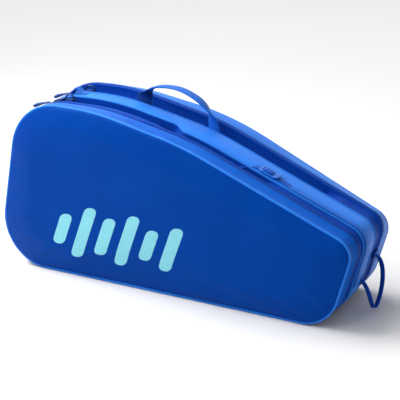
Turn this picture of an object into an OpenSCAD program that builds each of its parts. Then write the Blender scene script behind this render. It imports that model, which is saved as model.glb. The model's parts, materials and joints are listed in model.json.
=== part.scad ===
// Racket tournament bag: two clamshell compartments either side of a raised spine.
// Origin at the middle of the base, on the floor. +X runs to the handle end, -Y to the front, +Z up.

/* [Side outline] */
// Length between the outer corners of the outline, before rounding
bag_l = 766; // [620:1:920]
// Height of the body at the head end
bag_h = 343; // [285:1:415]
// How far the head end leans in from foot to crown
head_lean = 62; // [30:1:90]
// Length of the level crown at the head end
crown_l = 172; // [150:1:220]
// Run of the top between the crown and the knee
knee_run = 190; // [120:1:240]
// How far the knee sits below the crown
knee_drop = 41; // [20:1:60]
// Height of the upper corner at the handle end
tip_h = 166; // [135:1:200]
// How far the foot of the handle end sits in
toe_in = 44; // [20:1:70]
// Corner radius at the foot of the head end
foot_r = 95; // [70:1:110]
// Corner radius at the top of the head end
head_r = 110; // [80:1:112]
// Corner radius where the crown meets the sloping top
crown_r = 500; // [300:10:600]
// Corner radius at the knee of the sloping top
knee_r = 600; // [400:10:800]
// Corner radius at the upper corner of the handle end
tip_r = 38; // [31:1:46]
// Corner radius at the foot of the handle end
toe_r = 75; // [55:1:90]

/* [Width] */
// Width between the two panel seams
bag_w = 196; // [170:1:240]
// Distance between the middles of the two zips
zip_gap = 124; // [104:1:140]
// Height of the core's outline over the front panel's, at the head, crown, knee and tip
core_lift = [-6, -2, 0, 0];
// The same for the rear zip
rear_zip_lift = [4, 6, 7, 0];
// The same for the rear panel's seam
rear_seam_lift = [-9, -5, 7, -13];

/* [Cloth and foam] */
// Thickness of the gusset and base cloth with its lining
shell_t = 2.4; // [2:0.1:4]
// Thickness of the welt piping along a panel seam
welt_w = 4; // [3:0.1:6]
// How far a padded panel bulges out past its seam
panel_crown = 10; // [5:0.5:16]
// Thickness of the padded centre divider
divider_t = 4; // [2:0.5:8]
// Thickness of the stiff base board
board_t = 2.5; // [1.5:0.1:4]
// Height up to which the base cloth folds up the ends
base_fold = 14; // [8:1:20]

/* [Spine and valleys] */
// Front edge of the spine at the head end
spine_front = 18; // [12:1:24]
// Front edge of the spine at the handle end, past the step
spine_wide = 38; // [30:1:40]
// Rear edge of the spine
spine_rear = 20; // [14:1:26]
// Where the spine starts to widen
step_x = -16; // [-60:1:20]
// Length of the curved step
step_l = 30; // [10:1:60]
// Depth of the valleys on each side of the spine
valley_d = 20; // [12:1:24]
// Where the front valley ends
front_valley_x = 209; // [160:1:240]
// Where the rear valley ends
rear_valley_x = 296; // [240:1:310]
// Height at which both valleys end on the head end
valley_foot_z = 215; // [180:1:230]
// Width of the piping along the spine's edges
binding_w = 3; // [2:0.1:5]
// How far that piping stands up
binding_t = 1.5; // [0.8:0.1:3]

/* [Zips] */
// Width of one half of a zip, teeth and tape
zip_w = 3.8; // [3:0.1:5]
// Thickness of the zip teeth
zip_t = 2; // [1.2:0.1:3]
// Length of a zip slider
slider_l = 13; // [9:0.5:18]
// Width of a zip slider
slider_w = 9; // [7:0.5:10]
// Thickness of a zip slider
slider_t = 3; // [2:0.1:5]
// Length of a zip pull
pull_l = 38; // [25:1:50]
// Width of a zip pull
pull_w = 8; // [5:0.5:12]
// Thickness of a zip pull
pull_t = 2.2; // [1.4:0.1:4]
// How far the front pull stands off from hanging, in degrees
pull_tilt = 33; // [20:1:50]
// How far the lower slider waits below the upper one
slider_step = 19; // [16:1:30]

/* [Backpack straps] */
// Width of the padded strap
pad_w = 29; // [22:1:32]
// Thickness of the padded strap
pad_t = 13; // [8:1:16]
// Where the padded strap starts
pad_x0 = -250; // [-270:1:-200]
// Where the padded strap ends
pad_x1 = -28; // [-60:1:-20]
// Width of the strap webbing
web_w = 14; // [10:1:15]
// Thickness of every webbing
web_t = 2; // [1.2:0.1:3]
// Middle of the ladder locks along the bag
lock_x = 178; // [150:1:190]
// Length of a ladder lock
lock_l = 34; // [26:1:44]
// Width of a ladder lock
lock_w = 24; // [18:1:30]
// Thickness of a ladder lock
lock_t = 4; // [3:0.5:7]
// Middle of the strap buckles along the bag
buckle_x = -270; // [-280:1:-262]
// Length of a strap buckle
buckle_l = 26; // [20:1:32]
// Width of a strap buckle
buckle_w = 22; // [16:1:28]
// Thickness of a strap buckle
buckle_t = 8; // [5:0.5:12]
// Middle of the strap rings along the bag
ring_x = -241; // [-246:1:-232]
// Inner radius of a strap ring
ring_r = 10; // [9:0.5:13]
// Wire diameter of a strap ring
ring_wire = 3; // [2:0.1:4]
// Length of the free tab at the head end of a strap
tab_l = 34; // [20:1:45]
// Width of that tab
tab_w = 16; // [10:1:20]
// Thickness of that tab
tab_t = 7; // [4:0.5:10]
// Angle by which that tab is turned up from the surface
tab_tilt = 20; // [0:1:30]

/* [Handles and loops] */
// Middle of the carry handle's left sewn end
handle_x0 = -106; // [-130:1:-80]
// Middle of the carry handle's right sewn end
handle_x1 = 44; // [20:1:90]
// Height of the handle's arch over its sewn ends
handle_rise = 52; // [30:1:60]
// Width of the handle at the grip
handle_w = 24; // [12:1:26]
// Thickness of the folded handle webbing
handle_t = 4; // [2.5:0.1:8]
// Width of the handle's sewn ends
handle_end_w = 36; // [26:1:44]
// Width of the webbing of the end loop
loop_w = 14; // [10:1:20]
// Width of the hang tab on the spine
hang_w = 35; // [25:1:45]
// Height of the hang tab
hang_h = 15; // [8:1:20]

/* [Fits] */
// Clearance between pieces that move past each other
gap = 0.4; // [0.3:0.1:1]
// Clearance of a zip slider over the teeth
slider_gap = 0.8; // [0.5:0.1:2]

/* [Hidden] */

arc_step = 8;                                    // degrees between points of a round corner
big = 2 * bag_l;                                 // size of a cutting block
seam_y = bag_w / 2;
zip_y = zip_gap / 2;
wall_y1 = zip_y - zip_w - gap / 2;               // outer face of an inner gusset
wall_y0 = wall_y1 - 3.5;                         // inner face of an inner gusset
// A narrower gap between the zips leaves less room for the spine's wide end and for the pads
spine_edge = min(spine_wide, wall_y0 - web_w - 2);
pad_wide = min(pad_w, wall_y0 - max(spine_front, spine_rear) - 2 * (web_t + gap));
welt_out = seam_y + welt_w;
base_y = seam_y - 2.6;                           // the base stops short of the turning panel edge
floor_x0 = -bag_l / 2 + foot_r + 20;
floor_x1 = bag_l / 2 - toe_in - toe_r - 5;
cover_z = base_fold + gap;                       // lowest point of a cover's gusset

// ---- the side outline -------------------------------------------------------
// A lift raises the four upper corners of the outline by its own amounts
level = [0, 0, 0, 0];
function seam_of(rear) = rear ? rear_seam_lift : level;
function zip_of(rear) = rear ? rear_zip_lift : core_lift;
function corners(lift) = [
  [-bag_l / 2, 0], [bag_l / 2 - toe_in, 0], [bag_l / 2 + 0.3 * lift[3], tip_h + lift[3]],
  [-bag_l / 2 + head_lean + crown_l + knee_run, bag_h - knee_drop + lift[2]],
  [-bag_l / 2 + head_lean + crown_l, bag_h + lift[1]], [-bag_l / 2 + head_lean, bag_h + lift[0]]];
radii = [foot_r, toe_r, tip_r, knee_r, crown_r, head_r];
function unit(v) = v / norm(v);
function left_of(v) = [-v[1], v[0]];
function turned(v, a) = [v[0] * cos(a) - v[1] * sin(a), v[0] * sin(a) + v[1] * cos(a)];
function way_in(p, i) = unit(p[i] - p[(i + 5) % 6]);
function way_out(p, i) = unit(p[(i + 1) % 6] - p[i]);
function turn_at(p, i) = acos(way_in(p, i) * way_out(p, i));
function arc_centre(p, i) =
  p[i] - way_in(p, i) * radii[i] * tan(turn_at(p, i) / 2) + left_of(way_in(p, i)) * radii[i];
// Corner i, inset by d: the arc keeps its centre and loses d of its radius
function arc_points(p, i, d) =
  let (n = max(5, ceil(turn_at(corners(level), i) / arc_step)))
  [for (k = [0:n]) arc_centre(p, i) - turned(left_of(way_in(p, i)), turn_at(p, i) * k / n) * (radii[i] - d)];
function outline(d, lift = core_lift) = let (p = corners(lift)) [for (i = [0:5]) each arc_points(p, i, d)];
// Height of the top surface at x, from the points of the three upper arcs in order of x
function upper(lift) =
  let (p = corners(lift), run = [for (i = [2:5]) each arc_points(p, i, 0)])
  [for (k = [len(run) - 1:-1:0]) run[k]];
function top_z(x) = lookup(x, upper(core_lift));
function top_slope(x) = atan2(top_z(x - 8) - top_z(x + 8), 16);

// A band that follows the outline, from inset d0 to inset d1, between y0 and y1
module ring(d0, d1, y0, y1, lift0 = core_lift, lift1 = core_lift)
  translate([0, y1, 0]) rotate([90, 0, 0]) linear_extrude(y1 - y0) difference() {
    polygon(outline(d0, lift0));
    polygon(outline(d1, lift1));
  }
module slab(d, y0, y1)
  translate([0, y1, 0]) rotate([90, 0, 0]) linear_extrude(y1 - y0) polygon(outline(d));
module above(z) translate([-big / 2, -big / 2, z]) cube(big);
module below(z) translate([-big / 2, -big / 2, z - big]) cube(big);
module beyond(x) translate([x, -big / 2, -big / 2]) cube(big);
module between_x(x0, x1) translate([x0, -big / 2, -big / 2]) cube([x1 - x0, big, big]);
module open_floor()
  translate([floor_x0, -big / 2, -1]) cube([floor_x1 - floor_x0, big, valley_d + 2 * shell_t + 1]);
module flip(rear) if (rear) mirror([0, 1, 0]) children(); else children();
module on_top(x, y, height)
  translate([x, y, top_z(x) + height]) rotate([0, top_slope(x), 0]) children();

// ---- base and core ----------------------------------------------------------
module base_panel() color([0.02, 0.2, 0.55]) intersection() {
  ring(0, shell_t, -base_y, base_y);
  below(base_fold);
}
module base_board() color([0.15, 0.15, 0.17])
  translate([floor_x0 + 4, -(seam_y - 8), shell_t])
    cube([floor_x1 - floor_x0 - 8, 2 * (seam_y - 8), board_t]);
module core_shell() color([0.02, 0.16, 0.5]) difference() {
  ring(valley_d, valley_d + shell_t, -wall_y0, wall_y0);
  open_floor();
}
module centre_divider() color([0.1, 0.12, 0.2]) {
  slab(valley_d + shell_t, -divider_t / 2, divider_t / 2);
  translate([floor_x0 + 4, -divider_t / 2, shell_t + board_t])
    cube([floor_x1 - floor_x0 - 8, divider_t, valley_d - board_t]);
}
module inner_gusset(rear) color([0.05, 0.36, 0.8]) flip(rear) difference() {
  ring(0, valley_d + shell_t, -wall_y1, -wall_y0, zip_of(rear), core_lift);
  open_floor();
  below(base_fold + gap);
}
module front_inner_gusset() inner_gusset(false);
module rear_inner_gusset() inner_gusset(true);
// The flush cloth between spine and gusset past each end of a valley
module tail(rear, end_x, y_head, y_tail) color([0.03, 0.28, 0.68]) flip(rear) difference() {
  union() {
    intersection() {
      ring(0, valley_d, -wall_y0, -y_tail);
      beyond(end_x);
    }
    intersection() {
      ring(0, valley_d, -wall_y0, -y_head);
      translate([-big, -big / 2, -1]) cube([big, big, valley_foot_z + 1]);
    }
  }
  open_floor();
  below(base_fold + gap);
}
module front_tail() tail(false, front_valley_x, spine_front, spine_edge);
module rear_tail() tail(true, rear_valley_x, spine_rear, spine_rear);
function step_y(t) = -spine_front - (spine_edge - spine_front) * (1 - cos(180 * t)) / 2;
step_line = [for (k = [0:10]) [step_x + step_l * k / 10, step_y(k / 10)]];
module spine() color([0.28, 0.58, 0.95]) difference() {
  union() {
    ring(0, valley_d, -spine_front, spine_rear);
    intersection() {
      ring(0, valley_d, -spine_edge, -spine_front);
      translate([0, 0, -1]) linear_extrude(2 * bag_h)
        polygon(concat(step_line, [[bag_l, -spine_edge], [bag_l, -spine_front]]));
    }
  }
  open_floor();
  below(base_fold + gap);
}
module spine_binding() color([0.35, 0.65, 1]) difference() {
  union() {
    ring(-binding_t, 0, spine_rear - binding_w, spine_rear);
    intersection() {
      ring(-binding_t, 0, -spine_edge, -spine_front + binding_w);
      translate([0, 0, valley_d]) linear_extrude(2 * bag_h)
        polygon(concat([[-bag_l, -spine_front]], step_line, [[bag_l, -spine_edge]],
          [[bag_l, -spine_edge + binding_w]],
          [for (k = [10:-1:0]) step_line[k] + [0, binding_w]], [[-bag_l, -spine_front + binding_w]]));
    }
  }
  below(base_fold + 3);
}
module pocket(rear) color([0.08, 0.1, 0.16]) flip(rear)
  translate([-230, -divider_t / 2 - 3, 60]) cube([260, 3, 150]);
module front_pocket() pocket(false);
module rear_pocket() pocket(true);

// ---- zips -------------------------------------------------------------------
module zip_half(rear, y0, y1) color([0.04, 0.3, 0.72]) flip(rear) difference() {
  ring(0, zip_t, y0, y1, zip_of(rear), zip_of(rear));
  below(cover_z + 8);
}
module front_zip_inner() zip_half(false, -zip_y + gap / 2, -wall_y1);
module rear_zip_inner() zip_half(true, -zip_y + gap / 2, -wall_y1);
module front_zip_outer() zip_half(false, -zip_y - zip_w, -zip_y - gap / 2);
module rear_zip_outer() zip_half(true, -zip_y - zip_w, -zip_y - gap / 2);

// A slider's own frame: origin on the zip's surface, +X out of the bag, +Z up along the zip
module slider() translate([slider_gap, -slider_w / 2, -slider_l / 2]) cube([slider_t, slider_w, slider_l]);
pull_pivot = slider_gap + slider_t + 2.6;        // how far a pull's pivot stands off the teeth
module pull() rotate([90, 0, 0]) translate([0, 0, -pull_w / 2]) linear_extrude(pull_w)
  translate([-pull_t / 2, -pull_l]) square([pull_t, pull_l - 1]);
// The zip's frame at the upper slider is where the head end's round corner begins
function head_centre(lift) = arc_centre(corners(lift), 5);
module at_slider(rear, drop) let (centre = head_centre(zip_of(rear)), lean = side_tilt(zip_of(rear)))
  flip(rear) translate([centre[0], -zip_y, centre[1]])
    rotate([0, lean, 0]) translate([-head_r, 0, -drop]) mirror([1, 0, 0]) children();
function side_tilt(lift) = 90 - atan2(bag_h + lift[0], head_lean);
module at_pull(rear, drop, tilt) let (lean = side_tilt(zip_of(rear)))
  at_slider(rear, drop) translate([pull_pivot, 0, 0]) rotate([0, lean - tilt, 0]) children();
upper_drop = slider_l / 2;
lower_drop = upper_drop + slider_step;
hang_tilt = 8;                                   // a hanging pull lies along the leaning head end
module front_upper_slider() color([0.05, 0.07, 0.2]) at_slider(false, upper_drop) slider();
module front_lower_slider() color([0.05, 0.07, 0.2]) at_slider(false, lower_drop) slider();
module rear_upper_slider() color([0.05, 0.07, 0.2]) at_slider(true, upper_drop) slider();
module rear_lower_slider() color([0.05, 0.07, 0.2]) at_slider(true, lower_drop) slider();
module front_upper_pull() color([0.05, 0.07, 0.2]) at_pull(false, upper_drop, pull_tilt) pull();
module front_lower_pull() color([0.05, 0.07, 0.2]) at_pull(false, lower_drop, hang_tilt) pull();
module rear_upper_pull() color([0.05, 0.07, 0.2]) at_pull(true, upper_drop, pull_tilt) pull();
module rear_lower_pull() color([0.05, 0.07, 0.2]) at_pull(true, lower_drop, hang_tilt) pull();

// ---- covers -----------------------------------------------------------------
// A padded panel: outlines that step in as they rise, closed by a flat middle
panel_steps = [[0, 0], [0, 0.3], [4, 0.55], [12, 0.82], [24, 1]];
module panel(rear) let (rings = [for (s = panel_steps) [for (q = outline(welt_w - 1 + min(s[0], tip_r - welt_w - 2), seam_of(rear)))
      [q[0], -seam_y - s[1] * panel_crown, q[1]]]],
    n = len(rings[0]), m = len(rings))
  color([0, 0.29, 0.67]) flip(rear) polyhedron(
    points = [for (r = rings) each r],
    faces = concat([[for (k = [0:n - 1]) k]],
      [for (j = [0:m - 2]) for (k = [0:n - 1])
        [j * n + k, (j + 1) * n + k, (j + 1) * n + (k + 1) % n, j * n + (k + 1) % n]],
      [[for (k = [n - 1:-1:0]) (m - 1) * n + k]]));
module front_panel() panel(false);
module rear_panel() panel(true);
module piping(rear) color([0.03, 0.3, 0.75]) flip(rear)
  ring(0, welt_w - 1, -welt_out, -seam_y, seam_of(rear), seam_of(rear));
module front_piping() piping(false);
module rear_piping() piping(true);
// A gusset is lofted, because its seam and its zip follow different outlines
module gusset(rear) let (
    loops = [for (c = [[0, -seam_y], [0, -zip_y - zip_w], [shell_t, -zip_y - zip_w], [shell_t, -seam_y]])
      [for (q = outline(c[0], c[1] == -seam_y ? seam_of(rear) : zip_of(rear))) [q[0], c[1], q[1]]]],
    n = len(loops[0]))
  color([0.25, 0.55, 0.95]) flip(rear) difference() {
    polyhedron(points = [for (r = loops) each r],
      faces = [for (j = [0:3]) for (k = [0:n - 1]) let (a = j * n + k, b = j * n + (k + 1) % n,
        c = ((j + 1) % 4) * n + (k + 1) % n, d = ((j + 1) % 4) * n + k) each [[a, b, c], [a, c, d]]]);
    below(cover_z);
  }
module front_gusset() gusset(false);
module rear_gusset() gusset(true);

// ---- backpack straps --------------------------------------------------------
front_pad_y = -(wall_y0 + spine_front) / 2;
rear_pad_y = (wall_y0 + spine_rear) / 2;
front_web_y = -(wall_y0 + spine_edge) / 2;
module strap_run(x0, x1, y, w, d0, d1) intersection() {
  ring(d0, d1, y - w / 2, y + w / 2);
  between_x(x0, x1);
  above(valley_foot_z);
}
module strap_pad(y) color([0.02, 0.14, 0.45])
  strap_run(pad_x0, pad_x1, y, pad_wide, valley_d - pad_t - gap, valley_d - gap);
module front_strap_pad() strap_pad(front_pad_y);
module rear_strap_pad() strap_pad(rear_pad_y);
module strap_web(y, x1) color([0.02, 0.16, 0.5])
  strap_run(pad_x1, x1, y, web_w, valley_d - web_t - gap, valley_d - gap);
module front_strap_web() strap_web(front_web_y, lock_x - lock_l / 2);
module rear_strap_web() strap_web(rear_pad_y, lock_x - lock_l / 2);
module ladder_lock() color([0.1, 0.35, 0.8]) difference() {
  translate([-lock_l / 2, -lock_w / 2, 0]) cube([lock_l, lock_w, lock_t]);
  for (s = [-1, 1]) translate([s * lock_l / 4 - lock_l / 10, -lock_w / 2 + 3.5, -1])
    cube([lock_l / 5, lock_w - 7, lock_t + 2]);
}
module front_ladder_lock() on_top(lock_x, -spine_edge / 2 - 4, gap) ladder_lock();
module rear_ladder_lock() on_top(lock_x, rear_pad_y, -valley_d + web_t + gap) ladder_lock();
module buckle() color([0.03, 0.05, 0.2])
  translate([-buckle_l / 2, -buckle_w / 2, 0]) cube([buckle_l, buckle_w, buckle_t]);
module front_buckle() on_top(buckle_x, front_pad_y, buckle_lift) buckle();
module rear_buckle() on_top(buckle_x, rear_pad_y, buckle_lift) buckle();
buckle_lift = -valley_d + pad_t + 2 * gap;
tab_x = buckle_x - buckle_l / 2 - tab_l / 2 - 2;
// The tab points away from the shoulder of the head, so it is turned up about its buckle end
module strap_tab() color([0.02, 0.04, 0.25]) translate([tab_l / 2, 0, tab_t])
  rotate([0, tab_tilt, 0]) translate([-tab_l, -tab_w / 2, -tab_t]) cube([tab_l, tab_w, tab_t]);
module front_strap_tab() on_top(tab_x, front_pad_y, 1) strap_tab();
module rear_strap_tab() on_top(tab_x, rear_pad_y, 1) strap_tab();
// The ring stands on the padded strap, its foot rod in a webbing keeper
keeper_r = ring_wire / 2 + gap;
ring_lift = -valley_d + pad_t + 2 * gap + keeper_r + web_t;
module keeper() color([0.02, 0.14, 0.45]) difference() {
  translate([-ring_r + 2, -keeper_r - web_t, -keeper_r - web_t])
    cube([2 * ring_r - 4, 2 * (keeper_r + web_t), 2 * (keeper_r + web_t)]);
  translate([-ring_r, 0, 0]) rotate([0, 90, 0]) cylinder(r = keeper_r, h = 2 * ring_r, $fn = 32);
}
module d_ring() color([0.04, 0.06, 0.2]) {
  rotate([90, 0, 0]) rotate_extrude(angle = 180, $fn = 48)
    translate([ring_r + ring_wire / 2, 0]) circle(d = ring_wire, $fn = 24);
  translate([-ring_r - ring_wire / 2, 0, 0]) rotate([0, 90, 0])
    cylinder(d = ring_wire, h = 2 * ring_r + ring_wire, $fn = 24);
}
module front_ring_keeper() on_top(ring_x, front_pad_y, ring_lift) keeper();
module rear_ring_keeper() on_top(ring_x, rear_pad_y, ring_lift) keeper();
module front_strap_ring() on_top(ring_x, front_pad_y, ring_lift) d_ring();
module rear_strap_ring() on_top(ring_x, rear_pad_y, ring_lift) d_ring();
// A folded web loop that stands up as a low triangle
module hang_tab() color([0.3, 0.6, 0.98]) on_top(pad_x0 + 8, 0, gap)
  translate([0, 9, 0]) rotate([90, 0, 0]) linear_extrude(18) difference() {
    polygon([[-hang_w / 2, 0], [hang_w / 2, 0], [-2, hang_h]]);
    polygon([[-hang_w / 2 + 6, web_t], [hang_w / 2 - 6, web_t], [-2, hang_h - web_t - 1]]);
  }

// ---- carry handle -----------------------------------------------------------
handle_y = spine_rear + gap + web_t;
handle_lift = 3;                                 // hinge line over the spine's surface
foot0 = [handle_x0, top_z(handle_x0) + handle_lift];
foot1 = [handle_x1, top_z(handle_x1) + handle_lift];
handle_span = norm(foot1 - foot0);
handle_turn = atan2(foot0[1] - foot1[1], foot1[0] - foot0[0]);
module handle_patches() color([0.05, 0.3, 0.75]) for (x = [handle_x0, handle_x1])
  on_top(x, spine_rear, -12) translate([-handle_end_w / 2, 0, 0]) cube([handle_end_w, web_t, 12]);
// In the handle's own frame +X runs from foot to foot
arch_points = 16;
function arch(t, s) = [handle_span * t, s + (handle_rise - s) * pow(sin(180 * t), 0.62)];
function arch_line(off) = [for (k = [1:arch_points - 1]) arch(k / arch_points, 0) + [0, off]];
module carry_handle() color([0.2, 0.5, 0.9])
  translate([foot0[0], handle_y, foot0[1]]) rotate([0, handle_turn, 0]) rotate([90, 0, 0]) {
    translate([0, 0, -handle_w / 2]) linear_extrude(handle_w)
      polygon(concat(arch_line(0), [for (k = [arch_points - 1:-1:1]) arch_line(-handle_t)[k - 1]]));
    for (x = [0, handle_span]) translate([0, 0, -web_t / 2]) linear_extrude(web_t)
      polygon([[x - handle_end_w / 2, gap], [x + handle_end_w / 2, gap],
        [x + (x == 0 ? 16 : -6), arch(1 / arch_points, 0)[1]], [x + (x == 0 ? 6 : -16), arch(1 / arch_points, 0)[1]]]);
  }

// ---- end loop ---------------------------------------------------------------
// The loop hangs from a lower front point and an upper rear point on the handle end
loop_front = [bag_l / 2 - 27, 5, 62];
loop_rear = [bag_l / 2 - 14, 50, 97];
loop_foot = [bag_l / 2 + 3, 12, 12];
loop_mid = (loop_front + loop_rear) / 2;
loop_half = norm(loop_rear - loop_front) / 2;
loop_u = unit(loop_rear - loop_front);
loop_skew = (loop_foot - loop_mid) * loop_u;
loop_fall = loop_foot - loop_mid - loop_skew * loop_u;
loop_v = unit(loop_fall);
loop_n = cross(loop_u, loop_v);
function loop_curve(a, k) =
  [(loop_half + k) * cos(a) + loop_skew * pow(sin(a), 2), (norm(loop_fall) + k) * sin(a)];
// One cross-section of the webbing at angle a, in the bag's own frame
function loop_section(a) = [for (s = [[1, -1], [1, 1], [-1, 1], [-1, -1]])
  let (q = loop_curve(a, s[0] * web_t / 2)) loop_mid + q[0] * loop_u + q[1] * loop_v + s[1] * loop_w / 2 * loop_n];
loop_angles = [for (a = [10:8:170]) a];
module end_loop() color([0.04, 0.2, 0.6]) let (n = len(loop_angles)) polyhedron(
  points = [for (a = loop_angles) each loop_section(a)],
  faces = concat([[2, 1, 0], [3, 2, 0], [4 * n - 3, 4 * n - 2, 4 * n - 1], [4 * n - 4, 4 * n - 3, 4 * n - 1]],
    [for (j = [0:n - 2]) for (k = [0:3]) let (q = 4 * j, r = (k + 1) % 4) each
      [[q + 4 + r, q + 4 + k, q + k], [q + r, q + 4 + r, q + k]]]));
// A sewn patch lies flat on the handle end at each end of the loop
module end_loop_patches() color([0.04, 0.2, 0.6]) for (p = [loop_front, loop_rear])
  translate([bag_l / 2 - toe_in + toe_in * p[2] / tip_h, p[1], p[2]])
    rotate([0, atan2(toe_in, tip_h), 0]) translate([0, -loop_w / 2, -6]) cube([web_t, loop_w, 12]);

base_panel();
base_board();
core_shell();
centre_divider();
front_inner_gusset();
rear_inner_gusset();
front_tail();
rear_tail();
spine();
spine_binding();
front_zip_inner();
rear_zip_inner();
front_pocket();
rear_pocket();
front_strap_pad();
rear_strap_pad();
front_strap_web();
rear_strap_web();
front_ladder_lock();
rear_ladder_lock();
front_buckle();
rear_buckle();
front_strap_tab();
rear_strap_tab();
front_ring_keeper();
rear_ring_keeper();
hang_tab();
handle_patches();
end_loop_patches();
front_panel();
front_piping();
front_gusset();
front_zip_outer();
rear_panel();
rear_piping();
rear_gusset();
rear_zip_outer();
front_upper_slider();
front_lower_slider();
rear_upper_slider();
rear_lower_slider();
front_upper_pull();
front_lower_pull();
rear_upper_pull();
rear_lower_pull();
front_strap_ring();
rear_strap_ring();
carry_handle();
end_loop();
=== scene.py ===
import json
from math import acos, atan2, ceil, cos, dist, pi, radians, sin, sqrt, tan

import bmesh
import bpy
from mathutils import Matrix, Vector, noise
from mathutils.bvhtree import BVHTree


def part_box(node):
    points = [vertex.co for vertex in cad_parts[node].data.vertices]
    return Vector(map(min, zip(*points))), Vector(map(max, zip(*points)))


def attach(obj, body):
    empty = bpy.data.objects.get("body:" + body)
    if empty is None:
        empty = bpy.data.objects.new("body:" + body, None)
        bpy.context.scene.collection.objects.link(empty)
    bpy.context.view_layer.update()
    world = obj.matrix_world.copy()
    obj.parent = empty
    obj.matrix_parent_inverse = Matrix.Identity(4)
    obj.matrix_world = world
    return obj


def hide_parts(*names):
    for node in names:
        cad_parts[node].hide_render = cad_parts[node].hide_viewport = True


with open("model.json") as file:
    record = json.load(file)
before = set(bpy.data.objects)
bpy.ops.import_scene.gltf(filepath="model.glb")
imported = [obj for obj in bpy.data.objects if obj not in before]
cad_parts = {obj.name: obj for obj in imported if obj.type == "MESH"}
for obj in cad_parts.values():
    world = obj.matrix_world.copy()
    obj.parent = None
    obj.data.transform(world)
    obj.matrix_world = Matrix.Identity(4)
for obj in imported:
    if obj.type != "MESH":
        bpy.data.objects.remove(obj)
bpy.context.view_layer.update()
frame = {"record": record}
scene = bpy.context.scene
mm = 0.001

cameraSetup = {"place": (1.1433, -2.1286, 1.0454), "aim": (0.0249, 0.0, 0.1625), "lens": 120, "sensor": 36}
lightSetup = {"sky": 0.46, "sun": 2.3, "sunSpread": 50, "sunFrom": (-0.78, 0.12, 1.0),
              "top": 15, "rim": 8, "front": 6.5}
floorSetup = {"size": 14.0, "tone": 0.74}


def aimAt(thing, target):
    way = Vector(target) - thing.location
    thing.rotation_euler = way.to_track_quat("-Z", "Y").to_euler()


def makeCamera():
    data = bpy.data.cameras.new("camera")
    data.lens, data.sensor_width = cameraSetup["lens"], cameraSetup["sensor"]
    camera = bpy.data.objects.new("camera", data)
    scene.collection.objects.link(camera)
    camera.location = cameraSetup["place"]
    aimAt(camera, cameraSetup["aim"])
    scene.camera = camera


def makeAreaLight(name, place, size, power, target=(0, 0, 0.2)):
    data = bpy.data.lights.new(name, "AREA")
    data.shape, data.size, data.size_y, data.energy = "RECTANGLE", size[0], size[1], power
    light = bpy.data.objects.new(name, data)
    scene.collection.objects.link(light)
    light.location = place
    aimAt(light, target)
    light.visible_camera = False


def makeLights():
    world = bpy.data.worlds.new("studio")
    scene.world = world
    world.use_nodes = True
    background = world.node_tree.nodes["Background"]
    background.inputs["Color"].default_value = (1.0, 1.0, 1.0, 1)
    background.inputs["Strength"].default_value = lightSetup["sky"]
    data = bpy.data.lights.new("sun", "SUN")
    data.energy, data.angle = lightSetup["sun"], radians(lightSetup["sunSpread"])
    sun = bpy.data.objects.new("sun", data)
    scene.collection.objects.link(sun)
    sun.location = Vector(lightSetup["sunFrom"]) * 3
    aimAt(sun, (0, 0, 0))
    makeAreaLight("softboxBehind", (-0.9, 2.4, 1.9), (3.2, 1.4), lightSetup["rim"])
    makeAreaLight("softboxTop", (-0.75, -0.10, 1.05), (1.0, 0.7), lightSetup["top"], (-0.2, 0, 0.3))
    makeAreaLight("softboxFront", (-0.35, -0.75, 0.95), (1.4, 0.3), lightSetup["front"], (0, -0.1, 0.32))


def newMaterial(name, roughness, sheen=0.0, specular=0.5, tint=(0.12, 0.42, 1.0)):
    material = bpy.data.materials.new(name)
    material.use_nodes = True
    shader = material.node_tree.nodes["Principled BSDF"]
    shader.inputs["Roughness"].default_value = roughness
    shader.inputs["Specular IOR Level"].default_value = specular
    shader.inputs["Specular Tint"].default_value = (*tint, 1)
    shader.inputs["Sheen Weight"].default_value = sheen
    shader.inputs["Sheen Roughness"].default_value = 0.4
    return material, material.node_tree, shader


def addNode(tree, kind, **settings):
    node = tree.nodes.new(kind)
    for key, value in settings.items():
        setattr(node, key, value)
    return node


def noiseOf(tree, coordinates, scale, detail=3.0):
    node = addNode(tree, "ShaderNodeTexNoise")
    node.inputs["Scale"].default_value = scale
    node.inputs["Detail"].default_value = detail
    tree.links.new(coordinates, node.inputs["Vector"])
    return node.outputs["Fac"]


def tintBetween(tree, factor, dark, light):
    ramp = addNode(tree, "ShaderNodeValToRGB")
    ramp.color_ramp.elements[0].position, ramp.color_ramp.elements[1].position = 0.3, 0.72
    ramp.color_ramp.elements[0].color, ramp.color_ramp.elements[1].color = (*dark, 1), (*light, 1)
    tree.links.new(factor, ramp.inputs["Fac"])
    return ramp.outputs["Color"]


def bumpFrom(tree, shader, heights):
    previous = None
    for height, strength, distance in heights:
        bump = addNode(tree, "ShaderNodeBump")
        bump.inputs["Strength"].default_value = strength
        bump.inputs["Distance"].default_value = distance
        tree.links.new(height, bump.inputs["Height"])
        if previous:
            tree.links.new(previous, bump.inputs["Normal"])
        previous = bump.outputs["Normal"]
    tree.links.new(previous, shader.inputs["Normal"])


def mathOf(tree, operation, first, second=None):
    node = addNode(tree, "ShaderNodeMath", operation=operation)
    for index, value in enumerate((first, second)):
        if value is None:
            continue
        if isinstance(value, (int, float)):
            node.inputs[index].default_value = value
        else:
            tree.links.new(value, node.inputs[index])
    return node.outputs[0]


def wovenHeight(tree, coordinates, pitch):
    # the sum of three sines is a woven grid on any face of the bag
    scaled = addNode(tree, "ShaderNodeVectorMath", operation="SCALE")
    scaled.inputs["Scale"].default_value = 2 * pi / pitch
    tree.links.new(coordinates, scaled.inputs[0])
    waves = addNode(tree, "ShaderNodeVectorMath", operation="SINE")
    tree.links.new(scaled.outputs[0], waves.inputs[0])
    total = addNode(tree, "ShaderNodeVectorMath", operation="DOT_PRODUCT")
    total.inputs[1].default_value = (1, 1, 1)
    tree.links.new(waves.outputs[0], total.inputs[0])
    return total.outputs["Value"]


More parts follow.
